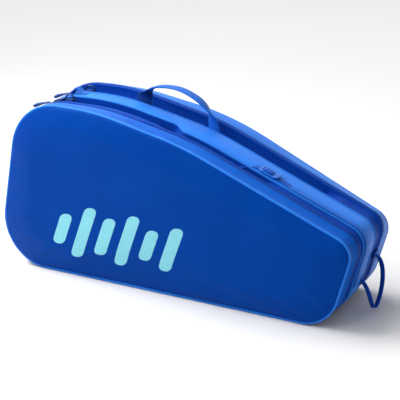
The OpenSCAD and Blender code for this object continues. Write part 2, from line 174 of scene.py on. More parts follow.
def clothMaterial(name, dark, light, pitch, weave, roughness, sheen, wrinkle=0.25, specular=0.4):
    material, tree, shader = newMaterial(name, roughness, sheen, specular)
    shader.inputs["Sheen Tint"].default_value = (0.22, 0.52, 1.0, 1)
    place = addNode(tree, "ShaderNodeTexCoord").outputs["Object"]
    tree.links.new(tintBetween(tree, noiseOf(tree, place, 9), dark, light), shader.inputs["Base Color"])
    bumpFrom(tree, shader, [(wovenHeight(tree, place, pitch), weave, 0.0002),
                            (noiseOf(tree, place, 420, 2), 0.12, 0.0003),
                            (noiseOf(tree, place, 26, 4), wrinkle, 0.0016)])
    return material


def webbingMaterial(name, dark, light, roughness=0.55):
    # ribs run across the tape and each rib is crossed by its yarns; V is metres along the tape
    material, tree, shader = newMaterial(name, roughness, 0.2)
    shader.inputs["Sheen Tint"].default_value = (0.22, 0.52, 1.0, 1)
    uv = addNode(tree, "ShaderNodeSeparateXYZ")
    tree.links.new(addNode(tree, "ShaderNodeTexCoord").outputs["UV"], uv.inputs[0])
    across = mathOf(tree, "MULTIPLY", uv.outputs[0], 2 * pi / 0.0021)
    along = mathOf(tree, "MULTIPLY", uv.outputs[1], 2 * pi / 0.0013)
    shifted = mathOf(tree, "ADD", along, mathOf(tree, "MULTIPLY", mathOf(tree, "SINE", across), 0.9))
    ribs = mathOf(tree, "SINE", shifted)
    height = mathOf(tree, "ADD", ribs, mathOf(tree, "COSINE", across))
    place = tree.nodes["Texture Coordinate"].outputs["Object"]
    mix = mathOf(tree, "ADD", mathOf(tree, "MULTIPLY", ribs, 0.16), noiseOf(tree, place, 60))
    tree.links.new(tintBetween(tree, mix, dark, light), shader.inputs["Base Color"])
    bumpFrom(tree, shader, [(height, 0.5, 0.0003), (noiseOf(tree, place, 900, 2), 0.15, 0.0002)])
    return material


def mouldingMaterial(name, dark, light, roughness):
    material, tree, shader = newMaterial(name, roughness)
    place = addNode(tree, "ShaderNodeTexCoord").outputs["Object"]
    tree.links.new(tintBetween(tree, noiseOf(tree, place, 140), dark, light), shader.inputs["Base Color"])
    bumpFrom(tree, shader, [(noiseOf(tree, place, 1600, 2), 0.12, 0.0002),
                            (noiseOf(tree, place, 90, 2), 0.06, 0.0006)])
    shader.inputs["Coat Weight"].default_value = 0.25
    shader.inputs["Coat Roughness"].default_value = 0.2
    return material


# name, dark tone, light tone, weave pitch in metres, weave depth, roughness, sheen, then wrinkles and gloss
clothLooks = {
    "panel": ("panelCloth", (0.0, 0.037, 0.262), (0.0, 0.044, 0.292), 0.0009, 0.10, 0.5, 0.0, 0.10, 0.1),
    "gusset": ("gussetCloth", (0.003, 0.115, 0.56), (0.006, 0.14, 0.64), 0.0011, 0.28, 0.42, 0.3, 0.30),
    # the front band's cloth is the gusset cloth darkened: painted shade for its hollow slope, with a little
    # more roughness and less sheen
    "gussetFront": ("gussetFrontCloth", (0.001, 0.078, 0.42), (0.003, 0.098, 0.50), 0.0011, 0.28, 0.5, 0.2,
                    0.35, 0.3),
    "spine": ("spineCloth", (0.004, 0.135, 0.62), (0.009, 0.16, 0.70), 0.0011, 0.30, 0.42, 0.35, 0.25),
    # the valley cloth is darker than the spine's: painted shade for the deep valleys
    "valley": ("valleyCloth", (0.0, 0.030, 0.27), (0.0, 0.040, 0.32), 0.0011, 0.28, 0.6, 0.05, 0.35, 0.2),
    # the strap cloth is the same blue darkened: painted shade for the straps lying in the valleys
    "pad": ("strapCloth", (0.0, 0.034, 0.31), (0.0, 0.046, 0.37), 0.0014, 0.45, 0.6, 0.08, 0.30, 0.2),
    "base": ("baseCloth", (0.0, 0.03, 0.22), (0.0, 0.042, 0.28), 0.0012, 0.5, 0.6, 0.02),
    "lining": ("liningCloth", (0.012, 0.014, 0.02), (0.02, 0.024, 0.036), 0.0016, 0.5, 0.55, 0.05),
    "binding": ("bindingTape", (0.01, 0.16, 0.68), (0.02, 0.19, 0.76), 0.0008, 0.45, 0.4, 0.35, 0.05),
    "zipTape": ("zipTape", (0.0, 0.05, 0.36), (0.0, 0.062, 0.42), 0.0007, 0.4, 0.55, 0.05, 0.0, 0.2)}
webbingLooks = {
    "web": ("webbing", (0.0, 0.050, 0.37), (0.002, 0.075, 0.47)),
    "handle": ("handleWebbing", (0.002, 0.085, 0.46), (0.006, 0.12, 0.58), 0.45),
    "darkWeb": ("darkWebbing", (0.0, 0.012, 0.11), (0.0, 0.02, 0.16))}
mouldingLooks = {
    "zipCoil": ("zipCoil", (0.0, 0.055, 0.36), (0.002, 0.075, 0.44), 0.32),
    "navy": ("navyMoulding", (0.001, 0.006, 0.055), (0.002, 0.01, 0.08), 0.3),
    "blue": ("blueMoulding", (0.004, 0.11, 0.54), (0.01, 0.14, 0.62), 0.26),
    "thread": ("thread", (0.006, 0.12, 0.56), (0.012, 0.16, 0.66), 0.6),
    "print": ("printInk", (0.19, 0.55, 0.62), (0.22, 0.60, 0.66), 0.5)}


def makeMaterials():
    m = {}
    for maker, looks in ((clothMaterial, clothLooks), (webbingMaterial, webbingLooks),
                         (mouldingMaterial, mouldingLooks)):
        for finish, look in looks.items():
            m[finish] = maker(*look)
    m["metal"], tree, shader = newMaterial("zipMetal", 0.28)
    shader.inputs["Metallic"].default_value = 0.6
    place = addNode(tree, "ShaderNodeTexCoord").outputs["Object"]
    tree.links.new(tintBetween(tree, noiseOf(tree, place, 700), (0.001, 0.008, 0.07), (0.004, 0.018, 0.12)),
                   shader.inputs["Base Color"])
    bumpFrom(tree, shader, [(noiseOf(tree, place, 900, 2), 0.1, 0.0002)])
    m["floor"], tree, shader = newMaterial("paleFloor", 0.9, 0.0, 0.3, (1.0, 1.0, 1.0))
    place = addNode(tree, "ShaderNodeTexCoord").outputs["Object"]
    tone = floorSetup["tone"]
    tree.links.new(tintBetween(tree, noiseOf(tree, place, 0.6), (tone - 0.005,) * 3, (tone,) * 3),
                   shader.inputs["Base Color"])
    return m


def makeFloor():
    half = floorSetup["size"] / 2
    data = bpy.data.meshes.new("floor")
    data.from_pydata([(-half, -half, 0), (half, -half, 0), (half, half, 0), (-half, half, 0)], [],
                     [(0, 1, 2, 3)])
    floor = bpy.data.objects.new("floor", data)
    scene.collection.objects.link(floor)
    floor.location.z = -0.0008
    data.materials.append(material["floor"])


def addPiece(name, points, faces, finish, body, nodes=(), smooth=40, uv=None):
    data = bpy.data.meshes.new(name)
    data.from_pydata([(x * mm, y * mm, z * mm) for x, y, z in points], [], faces)
    if uv:
        layer = data.uv_layers.new(name="UVMap")
        for loop in data.loops:
            layer.data[loop.index].uv = uv[loop.vertex_index]
    return placeMesh(name, data, finish, body, nodes, smooth)


def placeMesh(name, data, finish, body, nodes=(), smooth=40):
    work = bmesh.new()
    work.from_mesh(data)
    bmesh.ops.remove_doubles(work, verts=work.verts, dist=1e-6)
    bmesh.ops.recalc_face_normals(work, faces=work.faces)
    work.to_mesh(data)
    work.free()
    piece = bpy.data.objects.new(name, data)
    scene.collection.objects.link(piece)
    data.materials.append(material[finish])
    data.shade_smooth()
    data.set_sharp_from_angle(angle=radians(smooth))
    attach(piece, body)
    if nodes:
        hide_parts(*nodes)
    return piece


def sweepFaces(rings, sides, closedPath=False):
    # quads between rings of equal size, with a flat cap at each open end
    faces = []
    for i in range(rings if closedPath else rings - 1):
        j = (i + 1) % rings
        for k in range(sides):
            r = (k + 1) % sides
            faces.append((i * sides + k, j * sides + k, j * sides + r, i * sides + r))
    if not closedPath:
        faces.append(tuple(range(sides)))
        faces.append(tuple((rings - 1) * sides + k for k in reversed(range(sides))))
    return faces


bagShape = {"length": 766, "height": 343, "lean": 62, "crown": 172, "kneeRun": 190, "kneeDrop": 41,
            "tip": 166, "toeIn": 44, "radii": (95, 110, 500, 600, 38, 75),
            "seam": 98, "zip": 62, "valleyDepth": 20, "floorIn": 20,
            "level": (0, 0, 0, 0), "core": (-6, -2, 0, 0), "rearZip": (4, 6, 7, 0),
            "rearSeam": (-9, -5, 7, -13)}


def leftOf(v):
    return Vector((-v.y, v.x))


def turnBack(v, angle):
    return Vector((v.x * cos(angle) + v.y * sin(angle), -v.x * sin(angle) + v.y * cos(angle)))


def outlineCorners(lift):
    # the lift raises the head, crown, knee and tip corners by its own amounts
    b = bagShape
    head, crown, knee, tip = lift
    half = b["length"] / 2
    crownX = -half + b["lean"] + b["crown"]
    return [Vector(c) for c in ((-half, 0), (-half + b["lean"], b["height"] + head),
                                (crownX, b["height"] + crown),
            (crownX + b["kneeRun"], b["height"] - b["kneeDrop"] + knee), (half + 0.3 * tip, b["tip"] + tip),
            (half - b["toeIn"], 0))]


def outlineArcs(lift):
    corners, arcs = outlineCorners(lift), []
    for i, corner in enumerate(corners):
        wayIn = (corner - corners[i - 1]).normalized()
        wayOut = (corners[(i + 1) % 6] - corner).normalized()
        turn = acos(max(-1, min(1, wayIn.dot(wayOut))))
        radius = bagShape["radii"][i]
        first = corner - wayIn * radius * tan(turn / 2)
        arcs.append((first, first - leftOf(wayIn) * radius, leftOf(wayIn), turn, radius))
    return arcs


def outlinePath(lift=bagShape["core"], spacing=6.0, whole=False):
    # clockwise from the base's head end over the top: a list of (point, outward normal, distance);
    # the level outline sets the number of points, so that two outlines can be lofted
    b = bagShape
    half = b["length"] / 2
    start = Vector((-half + b["radii"][0] + b["floorIn"], 0))
    end = Vector((half - b["toeIn"] - b["radii"][5] - 5, 0))
    runs = []
    for arcs in (outlineArcs(b["level"]), outlineArcs(lift)):
        plan = runs[0] if runs else None
        run, counts, here = [(start, Vector((0, -1)))], [], start
        for i in range(8 if whole else 7):
            target = arcs[i][0] if i < 6 else (end if i == 6 else start)
            steps = plan[1][len(counts)] if plan else max(1, ceil((target - here).length / spacing))
            counts.append(steps)
            normal = leftOf((target - here).normalized())
            run += [(here + (target - here) * k / steps, normal) for k in range(1, steps + 1)]
            here = target
            if i < 6:
                centre, out, turn, radius = arcs[i][1:]
                steps = plan[1][len(counts)] if plan else max(3, ceil(turn * radius / spacing))
                counts.append(steps)
                for k in range(1, steps + 1):
                    normal = turnBack(out, turn * k / steps)
                    run.append((centre + normal * radius, normal))
                here = run[-1][0]
        if whole:
            run.pop()
        runs.append((run, counts))
    path, distance = [], 0.0
    run = runs[1][0]
    for i, (point, normal) in enumerate(run):
        distance += (point - run[i - 1][0]).length if i else 0.0
        path.append((point, normal, distance))
    return path


def clipLow(path, height):
    return [p for p in path if p[0].y >= height]


def clipTop(path, x0, x1):
    return [p for p in path if x0 <= p[0].x <= x1 and p[0].y > 120]


def onPath(item, y, depth):
    point, normal = item[0], item[1]
    return (point.x - normal.x * depth, y, point.y - normal.y * depth)


def loft(path, section):
    points, sides = [], 0
    for item in path:
        ring = section(item)
        sides = len(ring)
        points += [onPath(item, y, depth) for y, depth in ring]
    return points, sides


def smoothStep(value, low, high):
    t = max(0.0, min(1.0, (value - low) / (high - low)))
    return t * t * (3 - 2 * t)


def cordTube(points, radius, sides=8, closed=False):
    # a round cord along points that lie close together
    count = len(points)
    vectors = [Vector(p) for p in points]
    made, side = [], None
    for i in range(count):
        if closed:
            way = vectors[(i + 1) % count] - vectors[i - 1]
        else:
            way = vectors[min(i + 1, count - 1)] - vectors[max(i - 1, 0)]
        way.normalize()
        if side is None:
            side = way.orthogonal().normalized()
        side = (side - way * side.dot(way)).normalized()
        other = way.cross(side)
        for k in range(sides):
            a = 2 * pi * k / sides
            made.append(vectors[i] + side * cos(a) * radius + other * sin(a) * radius)
    return made, sweepFaces(count, sides, closed)


def ribbon(points, across, widths, thickness):
    # a flat tape with rounded edges; returns points, faces and a UV of metres across and along
    made, uv, distance = [], [], 0.0
    vectors = [Vector(p) for p in points]
    count = len(vectors)
    for i in range(count):
        way = (vectors[min(i + 1, count - 1)] - vectors[max(i - 1, 0)]).normalized()
        side = Vector(across[i])
        side = (side - way * side.dot(way)).normalized()
        face = way.cross(side)
        distance += (vectors[i] - vectors[i - 1]).length if i else 0.0
        half, t = widths[i] / 2, thickness / 2
        soft = min(1.0, half * 0.3)
        ring = [(-half, -t * 0.4), (-half + soft, -t), (0, -t), (half - soft, -t), (half, -t * 0.4),
                (half, t * 0.4), (half - soft, t), (0, t), (-half + soft, t), (-half, t * 0.4)]
        for a, n in ring:
            made.append(vectors[i] + side * a + face * n)
            uv.append((a * mm, distance * mm))
    return made, sweepFaces(count, 10), uv


def smoothLine(points, steps=6):
    # a Catmull-Rom curve through the points
    p = [Vector(points[0])] + [Vector(q) for q in points] + [Vector(points[-1])]
    line = []
    for i in range(1, len(p) - 2):
        for k in range(steps):
            t = k / steps
            a, b, c, d = p[i - 1], p[i], p[i + 1], p[i + 2]
            line.append(0.5 * ((2 * b) + (c - a) * t + (2 * a - 5 * b + 4 * c - d) * t * t
                               + (3 * b - a - 3 * c + d) * t ** 3))
    line.append(p[-2])
    return line


def stitchMesh(rows, pitch=3.4, length=2.3, radius=0.28):
    # rows of short thread stitches along lines of (place, outward normal)
    points, faces = [], []
    for row in rows:
        carried = 0.0
        for (a, normal), following in zip(row, row[1:]):
            a, b, normal = Vector(a), Vector(following[0]), Vector(normal)
            gone = (b - a).length
            way = (b - a).normalized() if gone else Vector((1, 0, 0))
            side = way.cross(normal).normalized()
            at = pitch - carried
            while at <= gone:
                middle = a + way * at + normal * radius * 0.5
                first = len(points)
                for offset, scale in ((-0.5, 0.35), (-0.32, 1), (0.32, 1), (0.5, 0.35)):
                    for k in range(6):
                        q = 2 * pi * k / 6
                        points.append(middle + way * offset * length
                                      + (side * cos(q) + normal * sin(q)) * radius * scale)
                for j in range(3):
                    for k in range(6):
                        r = (k + 1) % 6
                        faces.append((first + j * 6 + k, first + j * 6 + 6 + k,
                                      first + j * 6 + 6 + r, first + j * 6 + r))
                faces.append(tuple(first + k for k in range(6)))
                faces.append(tuple(first + 18 + k for k in reversed(range(6))))
                at += pitch
            carried = (carried + gone) % pitch
    return points, faces


def plateData(name, loops, thickness, bevel):
    # a flat plate with holes and rounded edges, in its own XY plane, made from filled outlines
    curve = bpy.data.curves.new(name, "CURVE")
    curve.dimensions, curve.fill_mode = "2D", "BOTH"
    curve.extrude, curve.bevel_depth, curve.bevel_resolution = (thickness / 2 - bevel) * mm, bevel * mm, 2
    curve.offset = -bevel * mm
    for loop in loops:
        spline = curve.splines.new("POLY")
        spline.points.add(len(loop) - 1)
        for point, (x, y) in zip(spline.points, loop):
            point.co = (x * mm, y * mm, 0, 1)
        spline.use_cyclic_u = True
    holder = bpy.data.objects.new(name, curve)
    scene.collection.objects.link(holder)
    bpy.context.view_layer.update()
    data = bpy.data.meshes.new_from_object(holder.evaluated_get(bpy.context.evaluated_depsgraph_get()))
    bpy.data.objects.remove(holder)
    bpy.data.curves.remove(curve)
    data.materials.clear()
    return data


def roundRectangle(width, height, radius, x=0.0, y=0.0, steps=5):
    loop = []
    for cx, cy, a0 in ((1, 1, 0), (-1, 1, 90), (-1, -1, 180), (1, -1, 270)):
        for k in range(steps + 1):
            a = radians(a0 + 90 * k / steps)
            loop.append((x + cx * (width / 2 - radius) + radius * cos(a),
                         y + cy * (height / 2 - radius) + radius * sin(a)))
    return loop


def addPlate(name, loops, thickness, bevel, matrix, finish, body, nodes=()):
    data = plateData(name, loops, thickness, bevel)
    data.transform(matrix)
    return placeMesh(name, data, finish, body, nodes, 50)


def topFrame(x, y, lift):
    # a matrix whose X runs down along the sloping top and whose Z is the surface's own normal
    item = min(clipTop(corePath, x - 20, x + 20), key=lambda p: abs(p[0].x - x))
    point = Vector(onPath(item, y, -lift)) * mm
    normal = Vector((item[1].x, 0, item[1].y))
    along = Vector((item[1].y, 0, -item[1].x))
    side = normal.cross(along)
    return Matrix.Translation(point) @ Matrix((along, side, normal)).transposed().to_4x4()


def boxOf(node):
    low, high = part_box(node)
    return low / mm, high / mm


clothSetup = {"pressure": 4.0, "frames": 20}


def bakedMesh(piece):
    bpy.context.view_layer.update()
    return bpy.data.meshes.new_from_object(piece.evaluated_get(bpy.context.evaluated_depsgraph_get()))


def inflate(piece, voxel, cap, pinned):
    # remesh, blow up a little as padded cloth with the pinned seam held, and cap each point's travel
    remesh = piece.modifiers.new("voxels", "REMESH")
    remesh.mode, remesh.voxel_size = "VOXEL", voxel * mm
    data = bakedMesh(piece)
    piece.modifiers.clear()
    piece.data = data
    start = [v.co.copy() for v in data.vertices]
    group = piece.vertex_groups.new(name="seam")
    group.add([v.index for v in data.vertices if pinned(v.co / mm)], 1.0, "ADD")
    cloth = piece.modifiers.new("cloth", "CLOTH")
    settings = cloth.settings
    settings.use_pressure, settings.uniform_pressure_force = True, clothSetup["pressure"]
    settings.effector_weights.gravity = 0
    settings.vertex_group_mass = "seam"
    settings.quality, settings.mass = 5, 0.3
    cloth.point_cache.frame_start, cloth.point_cache.frame_end = 1, clothSetup["frames"]
    for step in range(1, clothSetup["frames"] + 1):
        scene.frame_set(step)
    blown = bakedMesh(piece)
    moved = [v.co.copy() for v in blown.vertices]
    piece.modifiers.clear()
    for vertex, a, b in zip(data.vertices, start, moved):
        shift = b - a
        if shift.length > cap * mm:
            shift *= cap * mm / shift.length
        vertex.co = a + shift
    piece.vertex_groups.clear()
    scene.frame_set(1)
    finer = piece.modifiers.new("finer", "SUBSURF")
    finer.levels = finer.render_levels = 1
    data = bakedMesh(piece)
    piece.modifiers.clear()
    piece.data = data
    data.shade_smooth()


def zipLift(side):
    return bagShape["core" if side == "front" else "rearZip"]


def seamLift(side):
    return bagShape["level" if side == "front" else "rearSeam"]


panelShape = {"edgeInset": 1.2, "bulge": 12.5, "insets": (0, 0.6, 2.4, 6, 12, 20, 28, 34),
              "rises": (0, 0.22, 0.42, 0.58, 0.7, 0.79, 0.85, 0.88),
              "shrinks": (0.86, 0.7, 0.52, 0.34, 0.16), "voxel": 5.0, "cap": 4.0,
              "waveHeight": 0.9, "waveLength": 130}


def makePanel(side):
    s = panelShape
    sign = -1 if side == "front" else 1
    path = outlinePath(seamLift(side), 9.0, True)
    count = len(path)
    y0 = bagShape["seam"] + 0.4
    points = []
    for inset, share in zip(s["insets"], s["rises"]):
        points += [onPath(p, sign * (y0 + s["bulge"] * share), s["edgeInset"] + inset) for p in path]
    last = points[-count:]
    middle = (sum(q[0] for q in last) / count, sum(q[2] for q in last) / count)
    topShare = s["rises"][-1]
    for k, f in enumerate(s["shrinks"]):
        share = topShare + (1 - topShare) * (1 - f ** 2)
        points += [(middle[0] + (q[0] - middle[0]) * f, sign * (y0 + s["bulge"] * share),
                    middle[1] + (q[2] - middle[1]) * f) for q in last]
    rings = len(s["insets"]) + len(s["shrinks"])
    faces = [(i * count + k, i * count + (k + 1) % count, (i + 1) * count + (k + 1) % count,
              (i + 1) * count + k)
             for i in range(rings - 1) for k in range(count)]
    faces.append(tuple((rings - 1) * count + k for k in range(count)))
    back = len(points)
    for inset in (0.6, 20):
        points += [onPath(p, sign * (y0 - 1.0), s["edgeInset"] + inset) for p in path]
    for a, b in ((0, back), (back, back + count)):
        faces += [(a + k, b + k, b + (k + 1) % count, a + (k + 1) % count) for k in range(count)]
    faces.append(tuple(back + count + k for k in range(count)))
    body = side + "_cover"
    piece = addPiece(side + "PanelPad", points, faces, "panel", body, (side + "_panel",))
    inflate(piece, s["voxel"], s["cap"], lambda co: abs(co.y) < y0 + 1.8)
    for vertex in piece.data.vertices:
        x, y, z = vertex.co / mm
        if abs(y) > y0 + 4:
            wave = noise.noise(Vector((x, z, 40 * sign)) / s["waveLength"])
            vertex.co.y += sign * wave * s["waveHeight"] * mm
    liningWhere(piece, lambda f: sign * f.normal.y < -0.5)
    return piece


gussetShape = {"crown": 1.4, "hollow": -7.0, "hollowFrom": (-150, -20), "cloth": 1.8, "steps": 9,
               "bottom": 14.6,
               "seamIn": 0.4, "zipHalf": 3.8}
pipingShape = {"radius": 2.3, "inset": 1.7, "out": 1.8}


def liningWhere(piece, test):
    piece.data.materials.append(material["lining"])
    for polygon in piece.data.polygons:
        if test(polygon):
            polygon.material_index = len(piece.data.materials) - 1


def makeGusset(side):
    # the band runs from the panel's seam to the zip, crowned at the head and hollow along the front's slope
    s = gussetShape
    sign = -1 if side == "front" else 1
    outer, inner = bagShape["seam"] - s["seamIn"], bagShape["zip"] + s["zipHalf"]
    pairs = [(a, b) for a, b in zip(outlinePath(seamLift(side)), outlinePath(zipLift(side)))
             if min(a[0].y, b[0].y) >= s["bottom"]]
    points, steps = [], s["steps"] + 1
    for seam, zipLine in pairs:
        hollow = smoothStep(seam[0].x, *s["hollowFrom"]) if side == "front" else 0.0
        crown = s["crown"] + (s["hollow"] - s["crown"]) * hollow
        line = []
        for k in range(steps):
            t = k / s["steps"]
            ripple = noise.noise(Vector((seam[2] / 34, t * 2.2, 3 + sign)))
            depth = 0.9 - crown * sin(pi * t) ** 0.7 - ripple * sin(pi * t)
            line.append((t, depth))
        for t, depth in line + [(t, depth + s["cloth"]) for t, depth in reversed(line)]:
            place, normal = seam[0].lerp(zipLine[0], t), seam[1].lerp(zipLine[1], t).normalized()
            points.append((place.x - normal.x * depth, sign * (outer + (inner - outer) * t),
                           place.y - normal.y * depth))
    # the front band takes the darkened gusset cloth, painted shade; the rear band takes the plain one
    piece = addPiece(side + "GussetBand", points, sweepFaces(len(pairs), 2 * steps),
                     "gussetFront" if side == "front" else "gusset", side + "_cover",
                     (side + "_gusset",), 60)
    middle = Vector((0, 0, 0.15))
    liningWhere(piece, lambda f: f.normal.dot((f.center - middle) * Vector((1, 0, 1))) < -0.02)


def makePiping(side):
    s = pipingShape
    sign = -1 if side == "front" else 1
    path = outlinePath(seamLift(side), 5.0, True)
    line = [onPath(p, sign * (bagShape["seam"] + s["out"]), s["inset"] + 0.6) for p in path]
    points, faces = cordTube(line, s["radius"], 10, True)
    addPiece(side + "PanelPiping", points, faces, "binding", side + "_cover", (side + "_piping",))


zipShape = {"gap": 0.2, "width": 3.6, "tape": 0.6, "tooth": (1.25, 2.3, 1.5), "pitch": 2.1, "bottom": 23}


def makeZipHalf(side, outer):
    s = zipShape
    sign = -1 if side == "front" else 1
    way = 1 if outer else -1
    path = clipLow(outlinePath(zipLift(side)), s["bottom"])
    near, far = bagShape["zip"] + way * s["gap"], bagShape["zip"] + way * s["width"]

    def section(item):
        return [(sign * near, 1.3), (sign * far, 1.3), (sign * far, 1.3 + s["tape"]),
                (sign * near, 1.3 + s["tape"])]

    points, sides = loft(path, section)
    points = list(points)
    faces = sweepFaces(len(points) // sides, sides)
    at, index = path[0][2] + (0 if outer else s["pitch"] / 2), 0
    along, across, height = s["tooth"]
    while index < len(path) - 1:
        while index < len(path) - 1 and path[index + 1][2] < at:
            index += 1
        if index >= len(path) - 1:
            break
        a, b = path[index], path[index + 1]
        t = (at - a[2]) / (b[2] - a[2])
        point, normal = a[0].lerp(b[0], t), a[1].lerp(b[1], t).normalized()
        tangent = Vector((normal.y, -normal.x))
        first = len(points)
        for d, shrink in ((1.3, 1.0), (1.3 - height, 0.62)):
            for u, v in ((-1, 0), (1, 0), (1, 1), (-1, 1)):
                place = point - normal * d + tangent * u * along / 2 * shrink
                inset = 0.0 if v == 0 else across
                points.append((place.x, sign * (near + way * (inset * shrink + (1 - shrink) * 0.4)), place.y))
        faces += [tuple(first + k for k in f) for f in ((0, 1, 2, 3), (7, 6, 5, 4), (0, 4, 5, 1),
                                                        (1, 5, 6, 2),
                                                        (2, 6, 7, 3), (3, 7, 4, 0))]
        at += s["pitch"]
    node = side + ("_zip_outer" if outer else "_zip_inner")
    piece = addPiece(side + ("ZipOuterHalf" if outer else "ZipInnerHalf"), points, faces, "zipCoil",
                     side + "_cover" if outer else "bag", (node,), 30)
    piece.data.materials.append(material["zipTape"])
    tapeFaces = len(path) * sides
    for polygon in piece.data.polygons:
        if polygon.index < tapeFaces:
            polygon.material_index = 1


coreShape = {"lipIn": 54.4, "spineFront": 18.5, "spineWide": 38.5, "spineRear": 20.5, "stepX": (-17, 15),
             "frontEnd": (150, 215), "rearEnd": (250, 305), "headEnd": (175, 235), "flush": 2.5, "cloth": 1.0}
spineShape = {"crown": 2.4, "edge": 3.2, "bindingRadius": 1.5}


def spineFrontAt(item):
    c = coreShape
    if item[0].x < c["stepX"][0]:
        return c["spineFront"]
    return c["spineFront"] + (c["spineWide"] - c["spineFront"]) * smoothStep(item[0].x, *c["stepX"])


def valleyDepthAt(item, side):
    c = coreShape
    deep = bagShape["valleyDepth"] - c["cloth"] - 0.4
    if item[0].x < -200:
        share = smoothStep(item[0].y, *c["headEnd"])
    else:
        share = 1 - smoothStep(item[0].x, *c[side + "End"])
    return c["flush"] + (deep - c["flush"]) * share


def makeValley(side):
    c = coreShape
    sign = -1 if side == "front" else 1
    pairs = [(a, b) for a, b in zip(outlinePath(), outlinePath(zipLift(side)))
             if min(a[0].y, b[0].y) >= gussetShape["bottom"]]
    zipEdge = bagShape["zip"] - zipShape["width"] - 0.2
    depth0 = bagShape["valleyDepth"] + 1.8
    points, width = [], 0.0
    for item, raised in pairs:
        # the lip follows the taller rear outline, the floor the plain one
        lift = max(0.0, (raised[0] - item[0]).dot(item[1]))
        depth = valleyDepthAt(item, side)
        edge = spineFrontAt(item) if side == "front" else c["spineRear"]
        wall = min(depth, 3.0)
        ripple = 0.5 * noise.noise(Vector((item[2] / 38, 7.0, sign)))
        line = [(zipEdge, depth0), (zipEdge, 1.2 - lift), (zipEdge - 1.0, 0.2 - lift),
                (zipEdge - 2.6, 0.1 - lift),
                (c["lipIn"] - 0.6, 1.2 - lift), (c["lipIn"] - 1.0, wall - lift * 0.6),
                (c["lipIn"] - 1.6, depth - 1.5), (c["lipIn"] - 3.5, depth),
                (c["lipIn"] * 0.5 + edge * 0.5, depth + ripple * 0.6),
                (edge + 3.0, depth), (edge + 1.2, depth - 1.2), (edge + 0.7, 2.0)]
        shell = c["cloth"]
        back = [(zipEdge - shell - 0.6, depth0), (zipEdge - shell - 0.6, 2.2 - lift),
                (c["lipIn"] + 0.6, 2.4 - lift),
                (c["lipIn"] + 0.3, wall + 0.4 - lift * 0.6), (c["lipIn"] - 0.4, depth - 0.4),
                (c["lipIn"] - 2.8, depth + shell), (edge + 2.4, depth + shell), (edge + 0.1, depth - 0.4),
                (edge + 0.1, 2.0)]
        ring = line + list(reversed(back))
        points += [onPath(item, sign * y, d) for y, d in ring]
        sides = len(ring)
        width += sum(dist(a, b) for a, b in zip(line, line[1:])) / len(pairs)
    nodes = [side + "_inner_gusset", side + "_tail"]
    # the valley cloth carries painted shade, darker than the spine's
    piece = addPiece(side + "Valley", points, sweepFaces(len(pairs), sides), "valley", "bag", nodes,
                     50)


def makeSpine():
    c, s = coreShape, spineShape

    def section(item):
        front, rear = -spineFrontAt(item), c["spineRear"]
        ripple = 0.8 * noise.noise(Vector((item[2] / 36, 1.3, 9)))
        line = [(front, bagShape["valleyDepth"] - 0.6), (front, s["edge"]), (front + 0.9, s["edge"] * 0.32)]
        for k in range(9):
            t = k / 8
            line.append((front + s["edge"] + (rear - front - 2 * s["edge"]) * t,
                         0.1 - (s["crown"] + ripple) * sin(pi * t) ** 0.8))
        return line + [(rear - 0.9, s["edge"] * 0.32), (rear, s["edge"]),
                       (rear, bagShape["valleyDepth"] - 0.6)]

    path = clipLow(outlinePath(), gussetShape["bottom"])
    points, sides = loft(path, section)
    piece = addPiece("spinePad", points, sweepFaces(len(path), sides), "spine", "bag", ("spine",),
                     60)
    finer = clipLow(outlinePath(bagShape["core"], 4.0), gussetShape["bottom"] + 3)
    rows = []
    for name, place in (("spineBindingFront", lambda p: -spineFrontAt(p) + 0.9),
                        ("spineBindingRear", lambda p: c["spineRear"] - 0.9)):
        line = [onPath(p, place(p), 0.1) for p in finer]
        points, faces = cordTube(line, s["bindingRadius"], 8)
        nodes = ("spine_binding",) if name.endswith("Front") else ()
        addPiece(name, points, faces, "binding", "bag", nodes)
        inward = 4.2 if name.endswith("Front") else -4.2
        rows.append([(onPath(p, place(p) + inward, -0.75), (p[1].x, 0, p[1].y)) for p in finer])
    points, faces = stitchMesh(rows)
    addPiece("spineStitches", points, faces, "thread", "bag", (), 30)


coreLining = {"inset": 20.1, "thick": 2.0, "ripple": 0.7, "steps": 10, "seam": 1.1, "seamIn": 2.0}


def makeCoreLining():
    # the roof and the ends of both compartments, one soft band that runs round inside the spine and valleys
    s = coreLining
    half = boxOf("core_shell")[1].y - 0.2

    def section(item):
        line, ring = [], []
        for k in range(s["steps"] + 1):
            t = k / s["steps"]
            ripple = s["ripple"] * noise.noise(Vector((item[2] / 45, t * 5, 21))) * sin(pi * t)
            line.append((-half + 2 * half * t, s["inset"] + max(0.0, ripple)))
        ring = line + [(y, d + s["thick"]) for y, d in reversed(line)]
        return ring

    path = outlinePath()
    points, sides = loft(path, section)
    addPiece("coreLining", points, sweepFaces(len(path), sides), "lining", "bag", ("core_shell",),
             60)
    seamDepth = s["inset"] + s["thick"] + 0.6
    tubes = [cordTube([onPath(p, way * (half - s["seamIn"]), seamDepth) for p in path[2:-2]],
                      s["seam"], 8) for way in (-1, 1)]
    points, faces = joined(*tubes)
    addPiece("coreLiningBinding", points, faces, "darkWeb", "bag", ())


dividerShape = {"insets": (22.7, 23.6, 27, 34, 46, 62), "thick": (1.1, 1.8, 1.9, 1.9, 1.9, 1.9), "wave": 1.3,
                "waveLength": 95, "shrinks": (0.8, 0.6, 0.4, 0.2), "foot": 5.4}


